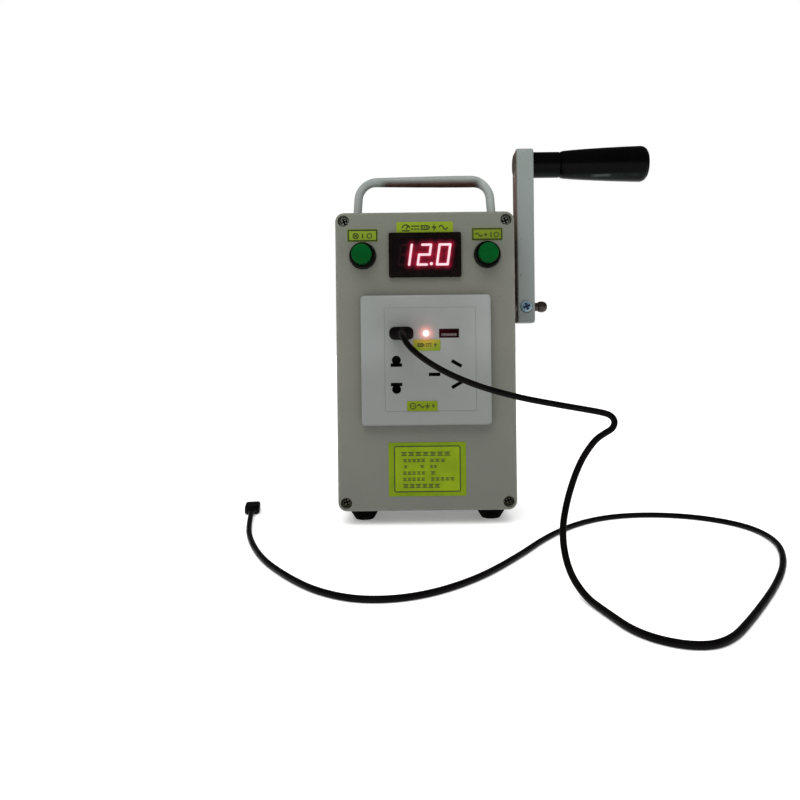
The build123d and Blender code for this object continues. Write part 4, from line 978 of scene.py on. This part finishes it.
# --------------------------------------------------------------- carry handle
def handle_line():
    """Centre points of the bent bar, foot to foot."""
    top, foot, bend = 238.0, 210.0, 13.2
    lean = math.atan2(1.4, 18.0)
    corner = 48.4 - (top - foot) * math.tan(lean)
    reach = bend * math.tan((math.pi / 2 - lean) / 2)
    out = []
    for sx in (-1, 1):
        side = []
        for k in range(12):
            z = foot + (top - reach * math.cos(lean) - foot) * k / 12
            side.append((sx * (48.4 - (z - foot) * math.tan(lean)), z))
        cx, cz = corner - reach, top - bend
        for k in range(17):
            t = lean + (math.pi / 2 - lean) * k / 16
            side.append((sx * (cx + bend * math.cos(t)), cz + bend * math.sin(t)))
        out.append(side)
    left, right = out
    span = right[-1][0] - left[-1][0]
    middle = [(left[-1][0] + span * k / 40, top) for k in range(1, 40)]
    return left + middle + right[::-1]


def handle_radius(x, z):
    stops = [
        (-60, 3.0), (-40, 3.0), (-34, 3.28), (-22, 3.5), (-6, 3.8), (10, 4.02), (24, 4.14),
        (33, 4.18), (37.0, 3.98), (41.5, 3.45), (44.5, 3.1), (60, 3.0),
    ]
    for (a, ra), (b, rb) in zip(stops, stops[1:]):
        if x <= b:
            t = (x - a) / (b - a)
            t = t * t * (3 - 2 * t) if rb < ra else t
            return ra + (rb - ra) * t
    return 3.0


line = handle_line()
bm = bmesh.new()
tube = []
for i, (x, z) in enumerate(line):
    a, b = line[max(0, i - 1)], line[min(len(line) - 1, i + 1)]
    d = math.hypot(b[0] - a[0], b[1] - a[1])
    nx, nz = -(b[1] - a[1]) / d, (b[0] - a[0]) / d
    if i in (0, len(line) - 1):
        nx, nz = (-1.0 if i == 0 else 1.0), 0.0
    r = handle_radius(x, z)
    tube.append(
        [
            bm.verts.new(P(x + nx * r * math.cos(t), r * math.sin(t), z + nz * r * math.cos(t)))
            for t in (2 * math.pi * k / 36 for k in range(36))
        ]
    )
for a, b in zip(tube, tube[1:]):
    for i in range(36):
        j = (i + 1) % 36
        bm.faces.new((a[i], a[j], b[j], b[i]))
bm.faces.new(tube[0][::-1])
bm.faces.new(tube[-1])
finish_mesh("carry_handle_bar", bm, M["handle"], slot="handle_paint", smooth=40, replaces=("carry_handle",))

# ------------------------------------------------------- plugs on the USB lead
def rings_of(spec):
    """Sections (along, width, height, corner) as rings."""
    return [(t, rounded_loop(w, h, r, cx=-0.45 if w > 12 else 0.0, n=9)) for t, w, h, r in spec]


body_spec = [(-0.9, 14.1, 7.3, 3.1), (-1.1, 14.7, 7.9, 3.4), (-1.6, 15.1, 8.3, 3.6), (-6.0, 15.1, 8.3, 3.6)]
for k in range(4):
    t = -7.6 - 2.6 * k
    body_spec += [(t, 15.1, 8.3, 3.6), (t - 0.35, 14.4, 7.6, 3.5), (t - 1.15, 14.4, 7.6, 3.5), (t - 1.5, 15.1, 8.3, 3.6)]
body_spec += [(-18.6, 15.5, 8.4, 3.6), (-19.6, 14.9, 8.1, 3.5), (-20.3, 13.4, 7.5, 3.4), (-20.8, 10.6, 6.9, 3.3), (-21.2, 7.2, 6.5, 3.2)]
for k in range(5):
    t = -21.9 - 2.35 * k
    r = 3.15 - 0.25 * k
    body_spec += [
        (t, 2 * r, 2 * r, r),
        (t - 1.45, 2 * r - 0.1, 2 * r - 0.1, r - 0.05),
        (t - 1.6, 2 * r - 0.7, 2 * r - 0.7, r - 0.35),
        (t - 2.2, 2 * r - 0.75, 2 * r - 0.75, r - 0.37),
    ]
body_spec += [(-33.6, 3.95, 3.95, 1.97), (-33.9, 3.7, 3.7, 1.85)]
usb_plug = loft(
    "usb_plug_overmould",
    rings_of(body_spec),
    lambda u, v, t: P(UX + u, PF + t, USB_Z + v),
    M["cable"],
    slot="cable_black",
    smooth=32,
    replaces=("usb_plug_body",),
)

end, before = Vector(ROUTE[-1]), Vector(ROUTE[-2])
heading = Vector((end.x - before.x, end.y - before.y, 0)).normalized()
across = Vector((-heading.y, heading.x, 0))


def at_far_end(u, v, t):
    q = end + heading * t + across * u + Vector((0, 0, v))
    return P(q.x, q.y, q.z)


micro_spec = [(0.0, 3.7, 3.7, 1.85)]
for k in range(4):
    t = 0.5 + 2.1 * k
    r = 1.95 + 0.24 * k
    micro_spec += [
        (t, 2 * r, 2 * r, r),
        (t + 1.3, 2 * r + 0.1, 2 * r + 0.1, r + 0.05),
        (t + 1.45, 2 * r - 0.5, 2 * r - 0.5, r - 0.25),
        (t + 1.95, 2 * r - 0.45, 2 * r - 0.45, r - 0.22),
    ]
micro_spec += [
    (9.0, 6.6, 5.0, 2.4), (9.5, 8.8, 5.8, 2.3), (10.4, 10.0, 6.15, 1.9), (12.0, 10.6, 6.2, 1.7),
    (14.0, 10.7, 6.2, 1.6), (14.3, 10.2, 5.8, 1.5), (15.1, 10.2, 5.8, 1.5), (15.4, 10.7, 6.2, 1.6),
    (17.0, 10.7, 6.2, 1.6), (17.3, 10.2, 5.8, 1.5), (18.1, 10.2, 5.8, 1.5), (18.4, 10.7, 6.2, 1.6),
    (25.6, 10.6, 6.2, 1.6), (27.2, 10.0, 5.7, 1.5), (27.8, 9.4, 5.2, 1.4), (28.0, 8.8, 4.6, 1.3),
]
micro_plug = loft(
    "micro_plug_overmould",
    rings_of(micro_spec),
    at_far_end,
    M["cable"],
    slot="cable_black",
    smooth=32,
    replaces=("micro_plug_body",),
)

lead.materials.append(M["cable"])
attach(usb_lead, "housing")
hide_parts("usb_cable")

# -------------------------------------------------------------- meter display
SLANT = math.tan(math.radians(8.2))
DIGIT_H, DIGIT_W, BAR = 14.6, 8.5, 1.42
DIGIT_Z = 181.05
CELLS = (-13.2, -0.4, 12.4)
GLASS_Y = MF + 0.4


def segment_shapes(w=DIGIT_W, h=DIGIT_H, t=BAR, g=0.13, grow=0.0):
    """The seven bars of a digit about its centre, before the slant."""
    W, H = w / 2 + grow, h / 2 + grow
    T = t + 2 * grow
    q = T / 2
    up_right = [(W, H - g - 0.5), (W - 0.35, H - g), (W - T, H - T - g), (W - T, q + g), (W - q, g), (W, q * 0.6 + g)]
    top = [(-W + g + 0.5, H), (W - g - 0.5, H), (W - g, H - 0.35), (W - T - g, H - T), (-W + T + g, H - T), (-W + g, H - 0.35)]
    mid = [(-W + q + g, 0), (-W + T + g, q), (W - T - g, q), (W - q - g, 0), (W - T - g, -q), (-W + T + g, -q)]
    flip_x = lambda s: [(-x, z) for x, z in s][::-1]
    flip_z = lambda s: [(x, -z) for x, z in s][::-1]
    return {
        "a": top[::-1],
        "b": up_right,
        "c": flip_z(up_right),
        "d": flip_z(top)[::-1],
        "e": flip_x(flip_z(up_right)),
        "f": flip_x(up_right),
        "g": mid[::-1],
    }


LIT = {0: "bc", 1: "abged", 2: "abcdef"}


def slanted(shape, cell):
    return [(cell + x + SLANT * z, DIGIT_Z + z) for x, z in shape]


def capsule(a, b, r, n=8):
    """A bar from a to b with round ends."""
    turn = math.degrees(math.atan2(b[1] - a[1], b[0] - a[0]))
    return arc(*b, r, turn - 90, turn + 90, n) + arc(*a, r, turn + 90, turn + 270, n)


def centre_lines(cell, which, short=0.0):
    """The middle line of each lit bar; an upright one stops short of the middle, a free end of its corner."""
    W, H = DIGIT_W / 2 - BAR / 2, DIGIT_H / 2 - BAR / 2
    ends = {
        "a": ((-W, H), (W, H)), "b": ((W, H), (W, short)), "c": ((W, -short), (W, -H)),
        "d": ((-W, -H), (W, -H)), "e": ((-W, -short), (-W, -H)), "f": ((-W, H), (-W, short)),
        "g": ((-W, 0), (W, 0)),
    }
    if "f" not in which:
        ends["a"] = ((-W + 1.3, H), (W, H))
    if "c" not in which:
        ends["d"] = ((-W, -H), (W - 1.1, -H))
    return [slanted(ends[s], cell) for s in which]


def to_segment(px, pz, a, b):
    dx, dz = b[0] - a[0], b[1] - a[1]
    t = max(0.0, min(1.0, ((px - a[0]) * dx + (pz - a[1]) * dz) / (dx * dx + dz * dz)))
    return math.hypot(px - a[0] - t * dx, pz - a[1] - t * dz)


DOT = (4.15, 174.95)
lines = [s for k, cell in enumerate(CELLS) for s in centre_lines(cell, LIT[k])]
lines.append(((DOT[0] - 0.01, DOT[1]), (DOT[0] + 0.01, DOT[1])))


def glow_at(x, z):
    near = sorted(to_segment(x, z, a, b) for a, b in lines)
    total = 0.0
    for d in near[:4]:
        d = max(0.0, d - BAR / 2)
        total += 0.10 * math.exp(-d / 0.5) + 0.115 * math.exp(-((d / 1.9) ** 2))
    # the light fills the space between the bars
    v = z - DIGIT_Z
    u = x - SLANT * v
    inside = 1.0
    for gap in (u - CELLS[0] - 1.6, CELLS[2] + DIGIT_W / 2 + 0.3 - u, DIGIT_H / 2 + 0.3 - abs(v)):
        t = max(0.0, min(1.0, gap / 1.8))
        inside *= t * t * (3 - 2 * t)
    return min(total + 0.085 * inside, 0.40)


bm = bmesh.new()
NX, NZ = 144, 74
W, H = 43.5, 21.9
front = [
    [bm.verts.new(P(-W / 2 + W * i / NX, GLASS_Y, METER_Z - H / 2 + H * k / NZ)) for i in range(NX + 1)]
    for k in range(NZ + 1)
]
for k in range(NZ):
    for i in range(NX):
        bm.faces.new((front[k][i], front[k][i + 1], front[k + 1][i + 1], front[k + 1][i]))
rim = front[0][:-1] + [r[-1] for r in front[:-1]] + front[-1][:0:-1] + [r[0] for r in front[:0:-1]]
back = [bm.verts.new((v.co.x, P(0, MF + 1.6, 0).y, v.co.z)) for v in rim]
for i in range(len(rim)):
    j = (i + 1) % len(rim)
    bm.faces.new((rim[i], back[i], back[j], rim[j]))
bm.faces.new(back)
window = finish_mesh("meter_window", bm, M["window"], slot="red_window", replaces=("voltmeter_window",))
glow = window.data.attributes.new("glow", "FLOAT", "POINT")
front_y = P(0, GLASS_Y, 0).y
glow.data.foreach_set(
    "value",
    [
        glow_at(v.co.x / MM + SX, v.co.z / MM) if abs(v.co.y - front_y) < 1e-6 else 0.0
        for v in window.data.vertices
    ],
)

for name, grow, depth, material in (
    ("meter_digit_edges", 0.24, 0.07, make_light("digit_edge", (1.0, 0.25, 0.36), 0.52, (0.05, 0.01, 0.01))),
    ("meter_digits", 0.0, 0.12, make_light("digit_lit", (1.0, 0.72, 0.77), 1.02, (0.05, 0.03, 0.03))),
):
    bm = bmesh.new()
    for k, cell in enumerate(CELLS):
        for i, (a, b) in enumerate(centre_lines(cell, LIT[k], 0.42)):
            prism(bm, capsule(a, b, BAR / 2 + grow), GLASS_Y - depth - 0.002 * i, GLASS_Y + 0.05)
    prism(bm, arc(*DOT, 0.98 + grow, 0, 360 * 23 / 24, 23), GLASS_Y - depth, GLASS_Y + 0.05)
    finish_mesh(name, bm, material, slot="red_led")

bm = bmesh.new()
for k, cell in enumerate(CELLS):
    shapes = segment_shapes(grow=-0.05)
    for s in "abcdefg":
        if k == 0 and s not in LIT[k]:
            # the level bars show only where the lit bar beside them doesn't drown them
            keep = 0.60 if s in "adg" else 1.0
            shape = [(-DIGIT_W / 2 + (x + DIGIT_W / 2) * keep, z) for x, z in shapes[s]]
            prism(bm, slanted(shape, cell), GLASS_Y - 0.03, GLASS_Y + 0.05)
unlit = finish_mesh("meter_unlit_bars", bm, make_window("digit_unlit", 2.2), slot="red_window")
glow = unlit.data.attributes.new("glow", "FLOAT", "POINT")
glow.data.foreach_set(
    "value", [glow_at(v.co.x / MM + SX, v.co.z / MM) + 0.003 for v in unlit.data.vertices]
)


# ------------------------------------------------------------- label printing
def ink(name, y_face, draw):
    bm = bmesh.new()
    draw(bm, y_face - 0.045, y_face + 0.02)
    return finish_mesh(name, bm, M["ink"])


def frame_line(bm, x, z, w, h, width, y0, y1, r=0.5):
    band(bm, rounded_loop(w, h, r, x, z), rounded_loop(w - 2 * width, h - 2 * width, max(0.05, r - width), x, z), y0, y1)


def ring(bm, x, z, r, width, y0, y1, a0=0.0, a1=360.0):
    if a1 - a0 >= 360:
        band(bm, arc(x, z, r + width / 2, 0, 345, 23), arc(x, z, r - width / 2, 0, 345, 23), y0, y1)
    else:
        band(bm, arc(x, z, r + width / 2, a0, a1, 20), arc(x, z, r - width / 2, a0, a1, 20), y0, y1, closed=False)


def sign_lamp(bm, x, z, s, y0, y1, w=0.6):
    ring(bm, x, z, s * 0.5, w, y0, y1)
    d = s * 0.5 * 0.66
    stroke(bm, [(x - d, z - d), (x + d, z + d)], w, y0, y1)
    stroke(bm, [(x - d, z + d), (x + d, z - d)], w, y0, y1)


def sign_on(bm, x, z, s, y0, y1, w=0.75):
    stroke(bm, [(x, z - s / 2), (x, z + s / 2)], w, y0, y1)


def sign_off(bm, x, z, s, y0, y1, w=0.65):
    ring(bm, x, z, s * 0.42, w, y0, y1)


def sign_wave(bm, x, z, s, y0, y1, w=0.45):
    pts = [(x - s * 0.6 + s * 1.2 * k / 20, z + s * 0.28 * math.sin(2 * math.pi * k / 20)) for k in range(21)]
    stroke(bm, pts, w, y0, y1)


def sign_direct(bm, x, z, s, y0, y1, w=0.45):
    stroke(bm, [(x - s * 0.55, z + s * 0.2), (x + s * 0.55, z + s * 0.2)], w, y0, y1)
    for k in (-1, 0, 1):
        stroke(bm, [(x + k * s * 0.4 - s * 0.14, z - s * 0.2), (x + k * s * 0.4 + s * 0.14, z - s * 0.2)], w, y0, y1)


def sign_gauge(bm, x, z, s, y0, y1, w=0.45):
    ring(bm, x, z - s * 0.15, s * 0.52, w, y0, y1, 10, 170)
    stroke(bm, [(x, z - s * 0.2), (x + s * 0.28, z + s * 0.22)], w, y0, y1)
    stroke(bm, [(x - s * 0.5, z - s * 0.42), (x + s * 0.5, z - s * 0.42)], w, y0, y1)


def sign_battery(bm, x, z, s, y0, y1, w=0.42):
    frame_line(bm, x, z, s * 1.1, s * 0.66, w, y0, y1, 0.3)
    stroke(bm, [(x + s * 0.66, z - s * 0.16), (x + s * 0.66, z + s * 0.16)], w, y0, y1)
    for k in (-1, 0, 1):
        stroke(bm, [(x + k * s * 0.27, z - s * 0.2), (x + k * s * 0.27, z + s * 0.2)], w * 0.8, y0, y1)


def sign_flash(bm, x, z, s, y0, y1):
    shape = [(0.12, 0.5), (-0.34, -0.06), (-0.04, -0.06), (-0.14, -0.5), (0.34, 0.10), (0.03, 0.10)]
    prism(bm, [(x + a * s, z + b * s) for a, b in shape][::-1], y0, y1)


def sign_earth(bm, x, z, s, y0, y1, w=0.42):
    stroke(bm, [(x, z + s * 0.5), (x, z)], w, y0, y1)
    for k, half in enumerate((0.46, 0.3, 0.14)):
        stroke(bm, [(x - half * s, z - k * s * 0.22), (x + half * s, z - k * s * 0.22)], w, y0, y1)


def sign_outlet(bm, x, z, s, y0, y1, w=0.42):
    ring(bm, x, z, s * 0.5, w, y0, y1)
    for k in (-1, 1):
        prism(bm, arc(x + k * s * 0.2, z, s * 0.11, 0, 330, 11), y0, y1)


FACE_LABEL = FACE - 0.2
INS_LABEL = INS - 0.2


def draw_lamp_label(bm, y0, y1):
    x, z = -41.6, 194.6
    frame_line(bm, x, z, 20.0, 8.0, 1.0, y0, y1, 0.4)
    sign_lamp(bm, x - 4.6, z - 0.3, 3.6, y0, y1)
    sign_on(bm, x, z - 0.3, 3.3, y0, y1)
    sign_off(bm, x + 4.6, z - 0.3, 3.6, y0, y1)


def draw_power_label(bm, y0, y1):
    x, z = 41.7, 194.7
    frame_line(bm, x, z, 20.2, 8.0, 1.0, y0, y1, 0.4)
    sign_wave(bm, x - 5.6, z - 0.4, 4.0, y0, y1, 0.75)
    sign_flash(bm, x - 1.0, z - 0.4, 3.6, y0, y1)
    sign_on(bm, x + 2.6, z - 0.4, 3.3, y0, y1)
    sign_off(bm, x + 6.2, z - 0.4, 3.6, y0, y1)


def draw_meter_label(bm, y0, y1):
    z = 199.5
    x0 = -12.6
    sign_gauge(bm, x0, z, 5.0, y0, y1, 0.85)
    sign_direct(bm, x0 + 6.3, z, 5.0, y0, y1, 0.85)
    sign_battery(bm, x0 + 12.6, z, 4.8, y0, y1, 0.7)
    sign_flash(bm, x0 + 18.9, z, 5.4, y0, y1)
    sign_wave(bm, x0 + 25.0, z, 4.8, y0, y1, 0.85)


def draw_usb_label(bm, y0, y1):
    x, z = 0.5, 120.9
    sign_battery(bm, x - 4.2, z + 0.1, 3.6, y0, y1, 0.6)
    sign_direct(bm, x + 1.2, z + 0.1, 3.6, y0, y1, 0.7)
    sign_flash(bm, x + 5.6, z + 0.1, 3.6, y0, y1)


def draw_outlet_label(bm, y0, y1):
    x, z = -2.9, 80.9
    sign_outlet(bm, x - 6.2, z, 3.8, y0, y1, 0.6)
    sign_wave(bm, x - 1.0, z, 3.6, y0, y1, 0.75)
    sign_earth(bm, x + 3.4, z + 0.1, 3.4, y0, y1, 0.6)
    sign_flash(bm, x + 7.2, z, 3.6, y0, y1)


def draw_rating_label(bm, y0, y1):
    x, z = 0.0, 38.0
    frame_line(bm, x, z + 0.2, 44.6, 31.0, 0.75, y0, y1, 1.4)
    # ruled rows of plain blocks, where a rating label has its lines of type
    rows = [
        (48.3, 2.9, [(-18.0, 15.8)], 4.55),
        (43.9, 2.2, [(-16.4, -1.2), (1.4, 12.2)], 3.35),
        (39.8, 2.0, [(-16.0, -13.2), (-5.0, -2.0), (1.5, 6.6)], 3.0),
        (35.5, 2.2, [(-16.6, -1.2), (1.9, 5.6)], 3.35),
        (31.4, 2.2, [(-16.6, -1.4), (1.9, 18.2)], 3.0),
        (26.9, 2.8, [(-16.6, 8.6)], 4.3),
    ]
    for zc, h, runs, pitch in rows:
        for a, b in runs:
            n = max(1, round((b - a) / pitch))
            w = (b - a) / n
            for k in range(n):
                xc = a + w * (k + 0.5)
                ww = w * 0.80
                stroke(bm, [(xc - ww / 2, zc + h * 0.36), (xc + ww / 2, zc + h * 0.36)], h * 0.22, y0, y1)
                stroke(bm, [(xc - ww / 2, zc - h * 0.36), (xc + ww / 2, zc - h * 0.36)], h * 0.22, y0, y1)
                stroke(bm, [(xc - ww * 0.34, zc), (xc + ww * 0.34, zc)], h * 0.24, y0, y1)


ink("print_lamp_label", FACE_LABEL, draw_lamp_label)
ink("print_power_label", FACE_LABEL, draw_power_label)
ink("print_meter_label", FACE_LABEL, draw_meter_label)
ink("print_usb_label", INS_LABEL, draw_usb_label)
ink("print_outlet_label", INS_LABEL, draw_outlet_label)
ink("print_rating_label", FACE_LABEL, draw_rating_label)

# --------------------------------------------------------- studio and its light
floor_mesh = bpy.data.meshes.new("floor")
R = 9.0
floor_mesh.from_pydata([(-R, -R, 0), (R, -R, 0), (R, R, 0), (-R, R, 0)], [], [(0, 1, 2, 3)])
floor = bpy.data.objects.new("floor", floor_mesh)
scene.collection.objects.link(floor)
g = Graph("floor_paint")
g.set(
    Base_Color=g.mix(g.span(g.noise(0.6, 3.0), 0.3, 0.7), (0.89, 0.89, 0.89), (0.91, 0.91, 0.91)),
    Roughness=0.85,
    Specular_IOR_Level=0.2,
    Emission_Color=(1.0, 1.0, 1.0, 1.0),
    Emission_Strength=0.22,
)
floor_mesh.materials.append(g.material)

world = bpy.data.worlds.new("studio")
scene.world = world
world.use_nodes = True
wt = world.node_tree
wt.nodes.clear()
w_out = wt.nodes.new("ShaderNodeOutputWorld")
seen, dim = wt.nodes.new("ShaderNodeBackground"), wt.nodes.new("ShaderNodeBackground")
seen.inputs["Color"].default_value = (1, 1, 1, 1)
seen.inputs["Strength"].default_value = 1.0
dim.inputs["Color"].default_value = (1, 1, 1, 1)
dim.inputs["Strength"].default_value = 0.75
shine = wt.nodes.new("ShaderNodeBackground")
shine.inputs["Color"].default_value = (1, 1, 1, 1)
shine.inputs["Strength"].default_value = 0.10
path = wt.nodes.new("ShaderNodeLightPath")
pick, gloss = wt.nodes.new("ShaderNodeMixShader"), wt.nodes.new("ShaderNodeMixShader")
wt.links.new(path.outputs["Is Glossy Ray"], gloss.inputs["Fac"])
wt.links.new(dim.outputs[0], gloss.inputs[1])
wt.links.new(shine.outputs[0], gloss.inputs[2])
wt.links.new(path.outputs["Is Camera Ray"], pick.inputs["Fac"])
wt.links.new(gloss.outputs[0], pick.inputs[1])
wt.links.new(seen.outputs[0], pick.inputs[2])
wt.links.new(pick.outputs[0], w_out.inputs["Surface"])


def lamp(name, kind, at, target, power, glossy=False, color=(1, 1, 1), size=1.0):
    data = bpy.data.lights.new(name, kind)
    data.energy, data.color = power, color
    if kind == "AREA":
        data.shape, data.size = "DISK", size
    elif kind == "SUN":
        data.angle = math.radians(size)
    else:
        data.shadow_soft_size = size
    o = bpy.data.objects.new(name, data)
    scene.collection.objects.link(o)
    o.location = at
    o.rotation_euler = (Vector(target) - Vector(at)).to_track_quat("-Z", "Y").to_euler()
    o.visible_glossy = glossy
    return o


lamp("overhead", "SUN", (-0.06, -0.30, 1.0), (0, 0, 0), 1.9, size=75)
lamp("key", "AREA", (-0.22, -0.90, 0.95), (-0.03, 0.0, 0.13), 5.0, size=0.9)
lamp("indicator_light", "POINT", P(0.3, PF - 5.0, USB_Z + 0.3), P(0, 0, USB_Z), 0.0012, glossy=True, color=(1.0, 0.22, 0.18), size=0.0016)
